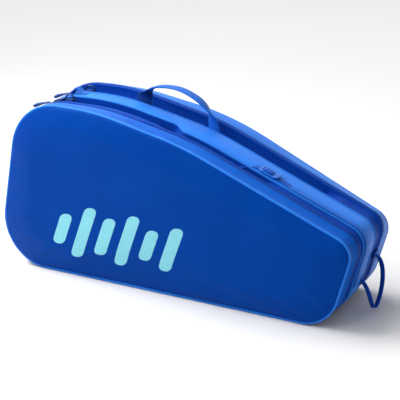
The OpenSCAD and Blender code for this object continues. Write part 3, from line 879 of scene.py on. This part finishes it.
def makeDivider():
    # a thin padded wall between the compartments, bound round its edge and gently waved
    s = dividerShape
    path = outlinePath(bagShape["core"], 8.0, True)
    count = len(path)
    rings = []
    for inset, thick in zip(s["insets"], s["thick"]):
        ring = []
        for item in path:
            x, z = onPath(item, 0, inset)[::2]
            if inset < 27 and z < 24.5 and item[0].y < 1:
                z = s["foot"]
            ring.append((x, thick, z))
        rings.append(ring)
    last = rings[-1]
    middle = (sum(q[0] for q in last) / count, sum(q[2] for q in last) / count)
    for f in s["shrinks"]:
        rings.append([(middle[0] + (q[0] - middle[0]) * f, q[1],
                       middle[1] + (q[2] - middle[1]) * f) for q in last])
    points, faces = [], []
    for way in (-1, 1):
        first = len(points)
        for k, ring in enumerate(rings):
            fade = smoothStep(k, 1, 5)
            points += [(x, way * t + fade * s["wave"] * noise.noise(Vector((x, z, 5)) / s["waveLength"]), z)
                       for x, t, z in ring]
        faces += [(first + i * count + k, first + i * count + (k + 1) % count,
                   first + (i + 1) * count + (k + 1) % count,
                   first + (i + 1) * count + k) for i in range(len(rings) - 1) for k in range(count)]
        faces.append(tuple(first + (len(rings) - 1) * count + k for k in range(count)))
    back = len(rings) * count
    faces += [(k, back + k, back + (k + 1) % count, (k + 1) % count) for k in range(count)]
    addPiece("centreDivider", points, faces, "lining", "bag", ("centre_divider",), 50)
    tubes = [cordTube([onPath(item, way * 2.1, 24.4) for item in path], 1.0, 8, True) for way in (-1, 1)]
    points, faces = joined(*tubes)
    addPiece("centreDividerBinding", points, faces, "darkWeb", "bag", ())


baseShape = {"thick": 2.1, "fold": 13.8, "seam": 1.2, "seamIn": 2.4, "ripple": 0.35, "boardRadius": 12}


def makeBase():
    # the base cloth lies under the board and folds up a little at both ends
    s = baseShape
    whole = outlinePath(bagShape["core"], 6.0, True)
    turn = max(range(len(whole)), key=lambda i: whole[i][0].x)
    path = [p for p in whole[turn:] if p[0].y <= s["fold"]] + [p for p in whole[:turn] if p[0].y <= s["fold"]]
    half = boxOf("base_panel")[1].y - 0.3

    def section(item):
        line = []
        for k in range(13):
            t = k / 12
            soft = s["ripple"] * (0.5 + noise.noise(Vector((item[0].x / 30, t * 6, 11)))) * sin(pi * t)
            line.append((-half + 2 * half * t, 0.15 + max(0.0, soft)))
        return line + [(y, d + s["thick"] - 0.3) for y, d in reversed(line)]

    points, sides = loft(path, section)
    addPiece("baseCloth", points, sweepFaces(len(path), sides), "base", "bag", ("base_panel",),
             50)
    rows = [[(onPath(p, way * (half - s["seamIn"]), s["thick"] + 0.1), (-p[1].x, 0, -p[1].y)) for p in path]
            for way in (-1, 1)]
    points, faces = stitchMesh(rows, 4.2, 2.8, 0.3)
    addPiece("baseStitches", points, faces, "thread", "bag", (), 30)
    low, high = boxOf("base_board")
    matrix = Matrix.Translation((low + high) / 2 * mm)
    size = high - low
    addPlate("baseBoard", [roundRectangle(size.x, size.y, s["boardRadius"], 0, 0, 6)], size.z, 0.8, matrix,
             "lining", "bag", ("base_board",))


def outlineItem(x):
    top = [p for p in corePath if p[0].y > 120]
    for a, b in zip(top, top[1:]):
        if a[0].x <= x <= b[0].x:
            t = (x - a[0].x) / max(1e-6, b[0].x - a[0].x)
            return (a[0].lerp(b[0], t), a[1].lerp(b[1], t).normalized())
    return min(top, key=lambda p: abs(p[0].x - x))


def onTop(x, y, depth):
    return onPath(outlineItem(x), y, depth)


def handleEndItem(z):
    low = [p for p in corePath if p[0].x > 250]
    return min(low, key=lambda p: abs(p[0].y - z))


def softRing(width, thick, count=16, power=2.6):
    ring = []
    for k in range(count):
        a = 2 * pi * k / count
        c, s = cos(a), sin(a)
        ring.append((width / 2 * (abs(c) ** (2 / power)) * (1 if c >= 0 else -1),
                     thick / 2 * (abs(s) ** (2 / power)) * (1 if s >= 0 else -1)))
    return ring


def shapedBar(stations, count=20, power=3.0):
    # a moulded bar along its own X: each station is (x, width, thickness, lift)
    points = []
    for x, width, thick, lift in stations:
        points += [(x, a, b + lift) for a, b in softRing(width, thick, count, power)]
    return points, sweepFaces(len(stations), count)


def placed(points, matrix):
    moved = []
    for p in points:
        q = matrix @ (Vector(p) * mm) / mm
        moved.append((q.x, q.y, q.z))
    return moved


def joined(*parts):
    points, faces = [], []
    for more, moreFaces in parts:
        first = len(points)
        points += [tuple(p) for p in more]
        faces += [tuple(first + k for k in face) for face in moreFaces]
    return points, faces


def jointPlace(name):
    for joint in frame["record"]["behaviour"]["joints"]:
        if joint["name"] == name:
            return Vector(joint["pos_m"])


strapShape = {"width": 25, "thick": 10.0, "depth": 13.2, "from": -247, "to": -31, "taper": 34, "voxel": 4.0,
              "cap": 1.8, "webWidth": 14, "webThick": 1.9, "binding": 0.9}


def strapY(side):
    low, high = boxOf(side + "_strap_pad")
    return (low.y + high.y) / 2


def makeStrapPad(side):
    s = strapShape
    middle = strapY(side)
    path = clipTop(outlinePath(bagShape["core"], 5.0), s["from"], s["to"])
    points = []
    for item in path:
        taper = 0.62 + 0.38 * smoothStep(s["to"] - item[0].x, 0, s["taper"])
        tip = 0.55 + 0.45 * smoothStep(min(item[0].x - s["from"], s["to"] - item[0].x), 0, 9)
        for a, b in softRing(s["width"] * taper, s["thick"] * tip, 18, 2.8):
            points.append(onPath(item, middle + a, s["depth"] + b))
    # the strap cloth carries painted shade
    piece = addPiece(side + "StrapPad", points, sweepFaces(len(path), 18), "pad", "bag",
                     (side + "_strap_pad",))
    ends = (path[0][0].x + 5, path[-1][0].x - 5)
    inflate(piece, s["voxel"], s["cap"], lambda co: co.x < ends[0] or co.x > ends[1])
    edges = []
    for way in (-1, 1):
        line = []
        for item in path:
            taper = 0.62 + 0.38 * smoothStep(s["to"] - item[0].x, 0, s["taper"])
            line.append(onPath(item, middle + way * (s["width"] * taper / 2 + 1.2), s["depth"]))
        edges.append(cordTube(line, s["binding"], 8))
    points, faces = joined(*edges)
    addPiece(side + "StrapPadBinding", points, faces, "darkWeb", "bag", ())
    row = [(onPath(item, middle, s["depth"] - s["thick"] / 2 - 1.0), (item[1].x, 0, item[1].y))
           for item in path[3:-2]]
    points, faces = stitchMesh([row])
    addPiece(side + "StrapPadStitches", points, faces, "thread", "bag", (), 30)


def makeStrapWeb(side):
    s = strapShape
    middle = strapY(side)
    if side == "front":
        run = [(-46, middle, 12.5), (-34, middle, 12.5), (-22, middle - 3, 15), (-6, middle - 8, 17.6),
               (20, middle - 10, 18.0), (70, middle - 10, 18.0), (104, middle - 9, 17.0),
               (126, middle - 4, 11),
               (142, middle + 4, 3.0), (153, middle + 10, -1.2), (162, -23, -2.4), (168, -23, -3.4),
               (173, -23, -6.3), (183, -23, -6.3), (189, -23, -3.2), (196, -23, -2.2), (208, -24, -1.9),
               (224, -25, -1.7)]
    else:
        run = [(-46, middle, 12.5), (-34, middle, 12.5), (-20, middle, 15), (-4, middle, 17.8),
               (40, middle, 18.0),
               (120, middle, 18.0), (158, middle, 17.6), (168, middle, 16.0), (173, middle, 12.6),
               (183, middle, 12.6), (189, middle, 16.2), (200, middle, 17.6), (232, middle, 17.9)]
    line = smoothLine([onTop(*p) for p in run], 6)
    points, faces, uv = ribbon(line, [(0, 1, 0)] * len(line), [s["webWidth"]] * len(line), s["webThick"])
    addPiece(side + "StrapWebbing", points, faces, "web", "bag", (side + "_strap_web",), 60, uv)


def makeSpineTape():
    # the front strap's webbing is sewn along the spine from its lock to the handle end
    t = {"from": 214, "inFromEdge": 10.5, "width": 13, "thick": 1.6, "over": 2.5}
    path = [p for p in outlinePath(bagShape["core"], 5.0) if (p[0].x > t["from"] and p[0].y > 60)]
    edge = -coreShape["spineWide"] + t["inFromEdge"]
    line = [onPath(p, edge, -t["over"] + 1.0 * smoothStep(60 - i, 48, 60)) for i, p in enumerate(path)]
    points, faces, uv = ribbon(line, [(0, 1, 0)] * len(line), [t["width"]] * len(line), t["thick"])
    addPiece("spineTape", points, faces, "handle", "bag", (), 60, uv)
    rows = [[(onPath(p, edge + way * (t["width"] / 2 - 1.5), -t["over"] - t["thick"] / 2),
              (p[1].x, 0, p[1].y))
             for p in path[2:]] for way in (-1, 1)]
    points, faces = stitchMesh(rows)
    addPiece("spineTapeStitches", points, faces, "thread", "bag", (), 30)


lockShape = {"x": 178, "length": 34, "width": 24, "thick": 2.8, "slot": (7.0, 16.5), "slotAt": 8.5,
             "frontY": -23, "frontLift": 3.4, "rearLift": -16.2, "tongue": (11, 21.5, 2.2), "tongueTilt": 17}


def makeLadderLock(side):
    s = lockShape
    y = s["frontY"] if side == "front" else strapY(side)
    lift = s["frontLift"] if side == "front" else s["rearLift"]
    matrix = topFrame(s["x"], y, lift)
    holes = [roundRectangle(*s["slot"], 1.6, way * s["slotAt"]) for way in (-1, 1)]
    addPlate(side + "LadderLock", [roundRectangle(s["length"], s["width"], 3.6)] + holes, s["thick"], 0.7,
             matrix, "blue", "bag", (side + "_ladder_lock",))
    length, width, thick = s["tongue"]
    lean = (Matrix.Translation((s["length"] / 2 * mm, 0, 1.4 * mm))
            @ Matrix.Rotation(-radians(s["tongueTilt"]), 4, "Y"))
    addPlate(side + "LadderLockTongue", [roundRectangle(length, width, 3.2)], thick, 0.6,
             matrix @ lean, "blue", "bag", ())
    ribs = []
    for k in range(3):
        x = -3 + 2.6 * k
        ribs.append(cordTube([(x, -7.5 + 3 * j, thick / 2) for j in range(6)], 0.55, 8))
    points, faces = joined(*ribs)
    addPiece(side + "LadderLockRibs", placed(points, matrix @ lean), faces, "blue", "bag", (), 30)


buckleShape = {"x": -270, "length": 26, "width": 22, "thick": 3.4, "lift": -1.6, "slot": (5.5, 14.5),
               "slotAt": 6.2}


def makeBuckle(side):
    s = buckleShape
    matrix = topFrame(s["x"], strapY(side), s["lift"])
    holes = [roundRectangle(*s["slot"], 1.4, way * s["slotAt"]) for way in (-1, 1)]
    addPlate(side + "StrapBuckle", [roundRectangle(s["length"], s["width"], 4.5)] + holes, s["thick"], 0.9,
             matrix, "navy", "bag", (side + "_buckle",))
    # the strap's webbing runs under the outer bars and over the middle one
    run = [(24, -7.4), (16, -6.2), (9, -3.6), (5.4, 0.2), (2.2, 2.9), (-2.2, 2.9), (-5.4, 0.2), (-9, -3.2),
           (-16, -3.6), (-20, -3.0)]
    line = smoothLine([(x, 0, z) for x, z in run], 5)
    points, faces, uv = ribbon(line, [(0, 1, 0)] * len(line), [13.5] * len(line), 1.9)
    addPiece(side + "BuckleWebbing", placed(points, matrix), faces, "darkWeb", "bag", (), 60, uv)
    points, faces = shapedBar([(-13, 4, 3, -4.4), (-11, 18, 4.6, -4.2), (0, 19.5, 4.8, -4.0),
                               (11, 18, 4.6, -4.2),
                               (13, 4, 3, -4.4)])
    # the cushion shares the strap cloth and its painted shade
    addPiece(side + "BuckleCushion", placed(points, matrix), faces, "pad", "bag", ())


tabShape = {"x": -302, "lift": 4.6, "tilt": 20, "heel": 17,
            "stations": ((-17.5, 5, 2.2, 0.4), (-16.6, 11.5, 5.0, 0.2), (-13, 15.5, 6.4, 0),
            (-7, 15.6, 6.0, 0), (0, 12.6, 4.6, -0.2), (8, 10.2, 3.2, -0.6), (14, 10.8, 2.8, -1.4),
            (19, 11, 2.6, -2.6),
            (20.5, 6, 1.4, -3.2))}


def makeStrapTab(side):
    s = tabShape
    heel = Matrix.Translation((s["heel"] * mm, 0, 0))
    matrix = (topFrame(s["x"], strapY(side), s["lift"]) @ heel @ Matrix.Rotation(radians(s["tilt"]), 4, "Y")
              @ heel.inverted())
    points, faces = shapedBar(s["stations"], 20, 3.4)
    addPiece(side + "StrapTab", placed(points, matrix), faces, "darkWeb", "bag", (side + "_strap_tab",))
    rows = []
    for x in (-12.5, -9.5, -2.0):
        rows.append([((x, -5.2 + 2.6 * k, 3.1 if x < -5 else 2.5), (0, 0, 1)) for k in range(5)])
    points, faces = stitchMesh(rows, 2.4, 1.7, 0.3)
    addPiece(side + "StrapTabStitches", placed(points, matrix), faces, "thread", "bag", (), 30)


ringShape = {"x": -241, "radius": 11.5, "wire": 1.5, "keeperWidth": 15}


def makeStrapRing(side):
    s = ringShape
    place = jointPlace(side + "_strap_ring_swing")
    item = outlineItem(s["x"])
    lift = (Vector((place.x, place.z)) / mm - item[0]).dot(item[1])
    matrix = topFrame(s["x"], strapY(side), lift)
    r = s["radius"]
    line = [(r * cos(pi * k / 22), 0, r * 0.9 * sin(pi * k / 22)) for k in range(23)]
    line += [(x, 0, 0) for x in (-10, -8, -6, -3, 0, 3, 6, 8, 10)]
    points, faces = cordTube(line, s["wire"], 12, True)
    addPiece(side + "StrapRing", placed(points, matrix), faces, "navy", side + "_strap_ring",
             (side + "_strap_ring",))
    run = [(-9.5, -4.0), (-6.2, -3.8), (-4.0, -2.0), (-3.2, 1.4), (0, 3.0), (3.2, 1.4), (4.0, -2.0),
           (6.2, -3.8),
           (9.5, -4.0)]
    strip = smoothLine([(0, y, z) for y, z in run], 5)
    points, faces, uv = ribbon(strip, [(1, 0, 0)] * len(strip), [s["keeperWidth"]] * len(strip), 1.5)
    addPiece(side + "RingKeeper", placed(points, matrix), faces, "darkWeb", "bag", (side + "_ring_keeper",),
             60, uv)


hangShape = {"x": -242, "width": 17, "thick": 1.7,
             "run": ((-19, -0.4), (-15.5, 0.6), (-12, 2.6), (-5, 10.0), (-2.4, 12.2), (0.4, 11.2), (9, 3.4),
                     (13.5, 0.8), (18, -0.2))}


def makeHangTab():
    s = hangShape
    matrix = topFrame(s["x"], 0, 1.4)
    strip = smoothLine([(x, 0, z) for x, z in s["run"]], 5)
    points, faces, uv = ribbon(strip, [(0, 1, 0)] * len(strip), [s["width"]] * len(strip), s["thick"])
    addPiece("hangTab", placed(points, matrix), faces, "handle", "bag", ("hang_tab",), 60, uv)


handleShape = {"run": ((-108, 319, 38), (-107.5, 331, 37), (-106.5, 341, 34), (-103, 350, 27),
                       (-98.5, 357, 21),
               (-92, 363, 20), (-83, 367.5, 22), (-68, 370.6, 24), (-48, 371.8, 24), (-28, 369.8, 24),
               (-8, 363.8, 24), (9, 355.4, 24), (22, 346, 23), (31, 336, 22), (37, 325, 22), (41, 314, 22),
               (43, 304, 22), (44, 294, 22), (44.5, 286, 22)), "thick": 3.4, "lean": -0.10,
               "twist": ((338, 368), (300, 356))}


def makeHandle():
    s = handleShape
    y = jointPlace("carry_handle_swing").y / mm
    data = [(Vector((x, y, z)), w) for x, z, w in s["run"]]
    line = smoothLine([p for p, w in data], 6)
    steps = len(line)
    across, widths = [], []
    for i, p in enumerate(line):
        low, high = s["twist"][0 if p.x < -40 else 1]
        turn = smoothStep(p.z, low, high)
        flat = Vector((0, 1, s["lean"])) * turn
        across.append((flat + Vector((1 - turn, 0, 0)) * (1 if p.x < -40 else -1)).normalized())
        at = i / (steps - 1) * (len(data) - 1)
        k = min(int(at), len(data) - 2)
        widths.append(data[k][1] + (data[k + 1][1] - data[k][1]) * (at - k))
    points, faces, uv = ribbon(line, across, widths, s["thick"])
    piece = addPiece("carryHandle", points, faces, "handle", "carry_handle", ("carry_handle",),
                     60, uv)
    piece.data.materials.append(material["darkWeb"])
    for polygon in piece.data.polygons:
        if polygon.center.x < -0.092 and polygon.center.z < 0.3645:
            polygon.material_index = 1
    rows = []
    for way in (-1, 1):
        row = []
        for i in range(24, steps - 24):
            direction = (line[i + 1] - line[i - 1]).normalized()
            side = (across[i] - direction * across[i].dot(direction)).normalized()
            normal = direction.cross(side)
            if normal.z < 0:
                normal = -normal
            row.append((line[i] + side * way * (widths[i] / 2 - 2.2) + normal * s["thick"] / 2, normal))
        rows.append(row)
    points, faces = stitchMesh(rows)
    addPiece("handleStitches", points, faces, "thread", "carry_handle", (), 30)


patchShape = {"at": (-106, 44), "outline": (36, 13, 2.5), "thick": 1.8, "bevel": 0.5,
              "seams": (-4, 4), "seamHalf": 15, "seamStep": 3}


def makeHandlePatches():
    s = patchShape
    matrices, rows = [], []
    edge = boxOf("handle_patches")[1].y
    for x in s["at"]:
        item = outlineItem(x)
        along = Vector((item[1].y, 0, -item[1].x))
        up = Vector((item[1].x, 0, item[1].y))
        centre = Vector(onPath(item, edge - 0.6, 7.2))
        matrices.append(Matrix.Translation(centre * mm)
                        @ Matrix((along, up, along.cross(up))).transposed().to_4x4())
        for dy in s["seams"]:
            rows.append([(centre + along * t + up * dy + Vector((0, 1.1, 0)), (0, 1, 0))
                         for t in range(-s["seamHalf"], s["seamHalf"] + 1, s["seamStep"])])
    for k, matrix in enumerate(matrices):
        addPlate("handlePatch" + ("Left", "Right")[k], [roundRectangle(*s["outline"])], s["thick"],
                 s["bevel"], matrix, "darkWeb", "bag", ("handle_patches",) if k == 0 else ())
    points, faces = stitchMesh(rows)
    addPiece("handlePatchStitches", points, faces, "thread", "bag", (), 30)


loopShape = {"front": (-27, 5, 62), "rear": (-14, 50, 97), "foot": (3, 12, 12), "width": 14, "thick": 2.2,
             "tuck": 7, "patch": (20, 17, 2.0)}


def makeEndLoop():
    s = loopShape
    half = bagShape["length"] / 2
    front, rear, foot = (Vector((half + p[0], p[1], p[2])) for p in (s["front"], s["rear"], s["foot"]))
    middle = (front + rear) / 2
    u = (rear - front).normalized()
    skew = (foot - middle).dot(u)
    fall = foot - middle - u * skew
    v, n = fall.normalized(), u.cross(fall.normalized())
    line = [rear - v * s["tuck"] * 0.2 - Vector((s["tuck"], 0, 0)), rear - Vector((2.5, 0, 0))]
    for k in range(1, 36):
        a = pi * k / 36
        bulge = 1 + 0.10 * sin(a) ** 2
        line.append(middle + u * ((rear - front).length / 2 * cos(a) * bulge + skew * sin(a) ** 2) + v
                    * fall.length * sin(a))
    line += [front - Vector((1.5, 0, 0)), front - Vector((s["tuck"], 0, 0))]
    points, faces, uv = ribbon(line, [n] * len(line), [s["width"]] * len(line), s["thick"])
    addPiece("endLoop", points, faces, "web", "end_loop", ("end_loop",), 60, uv)
    edgeRows = [[(p + n * way * (s["width"] / 2 - 1.6) + (line[i + 1] - line[i - 1]).normalized().cross(n)
                  * 1.15,
                  (line[i + 1] - line[i - 1]).normalized().cross(n)) for i,
                  p in enumerate(line) if 3 < i < len(line) - 4]
                for way in (-1, 1)]
    points, faces = stitchMesh(edgeRows)
    addPiece("endLoopStitches", points, faces, "thread", "end_loop", (), 30)
    for k, (name, place) in enumerate((("endLoopPatchFront", front), ("endLoopPatchRear", rear))):
        item = handleEndItem(place.z)
        normal, along = Vector((item[1].x, 0, item[1].y)), Vector((-item[1].y, 0, item[1].x))
        centre = Vector(onPath(item, place.y, -1.9))
        matrix = Matrix.Translation(centre * mm) @ Matrix((along, normal.cross(along),
                                                           normal)).transposed().to_4x4()
        length, width, thick = s["patch"]
        addPlate(name, [roundRectangle(length, width, 2.5)], thick, 0.5, matrix, "web", "bag",
                 ("end_loop_patches",) if k == 0 else ())
        box = [(-7.5, -6), (7.5, -6), (7.5, 6), (-7.5, 6), (-7.5, -6), (7.5, 6)]
        points, faces = stitchMesh([[((x, y, thick / 2), (0, 0, 1)) for x, y in box]], 2.6, 1.8)
        addPiece(name + "Stitches", placed(points, matrix), faces, "thread", "bag", (), 30)


sliderShape = {"body": ((-6.5, 5.6, 2.2, 0), (-6.0, 7.6, 3.0, 0), (-2, 8.2, 3.2, 0), (2.5, 8.8, 3.2, 0),
               (5.6, 7.4, 3.0, 0), (6.5, 5.2, 2.2, 0)),
               "bridge": ((-4.6, 0.6), (-3.6, 2.8), (-1.2, 4.6), (1.6, 4.6),
               (3.8, 2.8), (4.6, 0.6)), "bridgeWidth": 3.2}
pullShape = {"eye": 3.5, "wire": 0.85, "tilt": {"upper": 33, "lower": 8},
             "tab": ((-6.2, 2.6, 1.6, 0), (-7.4, 4.6, 2.1, 0), (-12, 5.4, 2.1, 0), (-20, 6.6, 2.2, 0),
                     (-30, 7.6, 2.3, 0), (-35.4, 7.0, 2.2, 0), (-37.4, 4.0, 1.4, 0)), "ribs": (-17, -3.0, 5)}


def headMatrix(side, centre):
    # a matrix whose X runs up the leaning head end and whose Z points out of it
    lean = atan2(bagShape["lean"], bagShape["height"] + zipLift(side)[0])
    up, out = Vector((sin(lean), 0, cos(lean))), Vector((-cos(lean), 0, sin(lean)))
    return Matrix.Translation(centre) @ Matrix((up, out.cross(up) * -1, out)).transposed().to_4x4()


def makeSlider(side, which):
    s = sliderShape
    node = side + "_" + which + "_slider"
    low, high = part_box(node)
    matrix = headMatrix(side, (low + high) / 2)
    bodyPart = shapedBar([(x, w, t, l) for x, w, t, l in s["body"]], 20, 3.6)
    strip = smoothLine([(x, 0, z) for x, z in s["bridge"]], 5)
    bridge = ribbon(strip, [(0, 1, 0)] * len(strip), [s["bridgeWidth"]] * len(strip), 1.1)[:2]
    points, faces = joined(bodyPart, bridge)
    name = side + which.capitalize() + "Slider"
    addPiece(name, placed(points, matrix), faces, "metal", node, (node,), 45)


def makePull(side, which):
    s = pullShape
    node = side + "_" + which + "_pull"
    pivot = jointPlace(side + "_" + which + "_pull_swing")
    tilt = radians(s["tilt"][which])
    up = Vector((sin(tilt), 0, cos(tilt)))
    across = Vector((0, 1, 0))
    matrix = Matrix.Translation(pivot) @ Matrix((up, across, up.cross(across))).transposed().to_4x4()
    eye = [(s["eye"] * (cos(2 * pi * k / 24) - 0.85), s["eye"] * sin(2 * pi * k / 24), 0) for k in range(24)]
    ring = cordTube(eye, s["wire"], 10, True)
    tab = shapedBar(s["tab"], 20, 3.2)
    ribs = []
    start, pitch, count = s["ribs"]
    for k in range(count):
        x = start + pitch * k
        for face in (-1, 1):
            ribs.append(cordTube([(x, -2.4 + 1.2 * j, face * 1.05) for j in range(5)], 0.5, 6))
    points, faces = joined(ring, tab, *ribs)
    addPiece(side + which.capitalize() + "Pull", placed(points, matrix), faces, "navy", node, (node,),
             45)


pocketShape = {"sag": 5.0, "thick": 1.0}


def makePocket(side):
    # a flat slip pocket: one sheet with a hem, bowed a little away from the divider
    s = pocketShape
    sign = -1 if side == "front" else 1
    low, high = boxOf(side + "_pocket")
    base = low.y if side == "front" else high.y
    columns, rows = 26, 15
    points = []
    for layer in (0, 1):
        for j in range(rows + 1):
            for i in range(columns + 1):
                u, v = i / columns, j / rows
                bow = s["sag"] * sin(pi * u) ** 0.8 * (0.25 + 0.75 * v ** 1.5) * 0.35
                fold = 0.5 * noise.noise(Vector((u * 5, v * 4, sign)))
                points.append((low.x + (high.x - low.x) * u,
                               base + sign * (bow + fold - 1.4 - layer * s["thick"]),
                               low.z + (high.z - low.z) * v))
    faces, width, layerSize = [], columns + 1, (columns + 1) * (rows + 1)
    for j in range(rows):
        for i in range(columns):
            a = j * width + i
            faces.append((a, a + 1, a + width + 1, a + width))
            faces.append((layerSize + a, layerSize + a + width, layerSize + a + width + 1, layerSize + a + 1))
    rim = ([i for i in range(width)] + [j * width + columns for j in range(1, rows + 1)]
           + [rows * width + i for i in reversed(range(columns))]
           + [j * width for j in reversed(range(1, rows))])
    for a, b in zip(rim, rim[1:] + rim[:1]):
        faces.append((a, a + layerSize, b + layerSize, b))
    piece = addPiece(side + "Pocket", points, faces, "lining", "bag", (side + "_pocket",))
    hemLine = [points[rows * width + i] for i in range(width)]
    hemPoints, hemFaces = cordTube(hemLine, 1.3, 8)
    hem = addPiece(side + "PocketHem", hemPoints, hemFaces, "darkWeb", "bag", ())


# a plain row of slanted bars stands where the panel carries its print
printShape = {"bars": ((-217, 0.6), (-169, 1.0), (-121, 0.74), (-73, 1.0), (-25, 0.6), (23, 0.86)),
              "width": 27,
              "height": 108, "middle": 99, "slant": 0.36, "radius": 11, "proud": 0.35, "step": 4.0}


def makePrint():
    s = printShape
    target = panels["front"]
    tree = BVHTree.FromObject(target, bpy.context.evaluated_depsgraph_get())
    for k, (x, share) in enumerate(s["bars"]):
        height = s["height"] * share
        loop = roundRectangle(s["width"], height, s["radius"], 0, 0, 6)
        work = bmesh.new()
        verts = [work.verts.new((px * mm, pz * mm, 0)) for px, pz in loop]
        work.faces.new(verts)
        for cut in range(int(-height / 2 / s["step"]), int(height / 2 / s["step"]) + 1):
            geometry = work.verts[:] + work.edges[:] + work.faces[:]
            bmesh.ops.bisect_plane(work, geom=geometry, plane_co=(0, cut * s["step"] * mm, 0),
                                   plane_no=(0, 1, 0))
        for cut in range(int(-s["width"] / 2 / s["step"]), int(s["width"] / 2 / s["step"]) + 1):
            geometry = work.verts[:] + work.edges[:] + work.faces[:]
            bmesh.ops.bisect_plane(work, geom=geometry, plane_co=(cut * s["step"] * mm, 0, 0),
                                   plane_no=(1, 0, 0))
        extruded = bmesh.ops.extrude_face_region(work, geom=work.faces[:])
        upper = {v for v in extruded["geom"] if isinstance(v, bmesh.types.BMVert)}
        for vert in work.verts:
            px, pz = vert.co.x + vert.co.y * s["slant"], vert.co.y
            start = Vector((x * mm + px, -0.2, s["middle"] * mm + pz))
            hit = tree.ray_cast(start, Vector((0, 1, 0)))
            y = hit[0].y if hit[0] is not None else -0.11
            vert.co = (start.x, y - (s["proud"] * mm if vert in upper else -0.4 * mm), start.z)
        data = bpy.data.meshes.new("panelPrint" + str(k + 1))
        work.to_mesh(data)
        work.free()
        placeMesh("panelPrint" + str(k + 1), data, "print", "front_cover", (), 50)


print("materials")
makeCamera()
makeLights()
material = makeMaterials()
makeFloor()
corePath = outlinePath(bagShape["core"], 3.0)

print("covers")
panels = {side: makePanel(side) for side in ("front", "rear")}
for side in ("front", "rear"):
    makeGusset(side)
    makePiping(side)
    makeZipHalf(side, True)
    makeZipHalf(side, False)

print("core")
for side in ("front", "rear"):
    makeValley(side)
makeSpine()
makeCoreLining()
makeDivider()
makeBase()

print("straps and fittings")
for side in ("front", "rear"):
    makeStrapPad(side)
    makeStrapWeb(side)
    makeLadderLock(side)
    makeBuckle(side)
    makeStrapTab(side)
    makeStrapRing(side)
    for which in ("upper", "lower"):
        makeSlider(side, which)
        makePull(side, which)
    makePocket(side)
makeSpineTape()
makeHangTab()

print("handle and loop")
makeHandle()
makeHandlePatches()
makeEndLoop()
makePrint()

scene.view_settings.view_transform = "Standard"
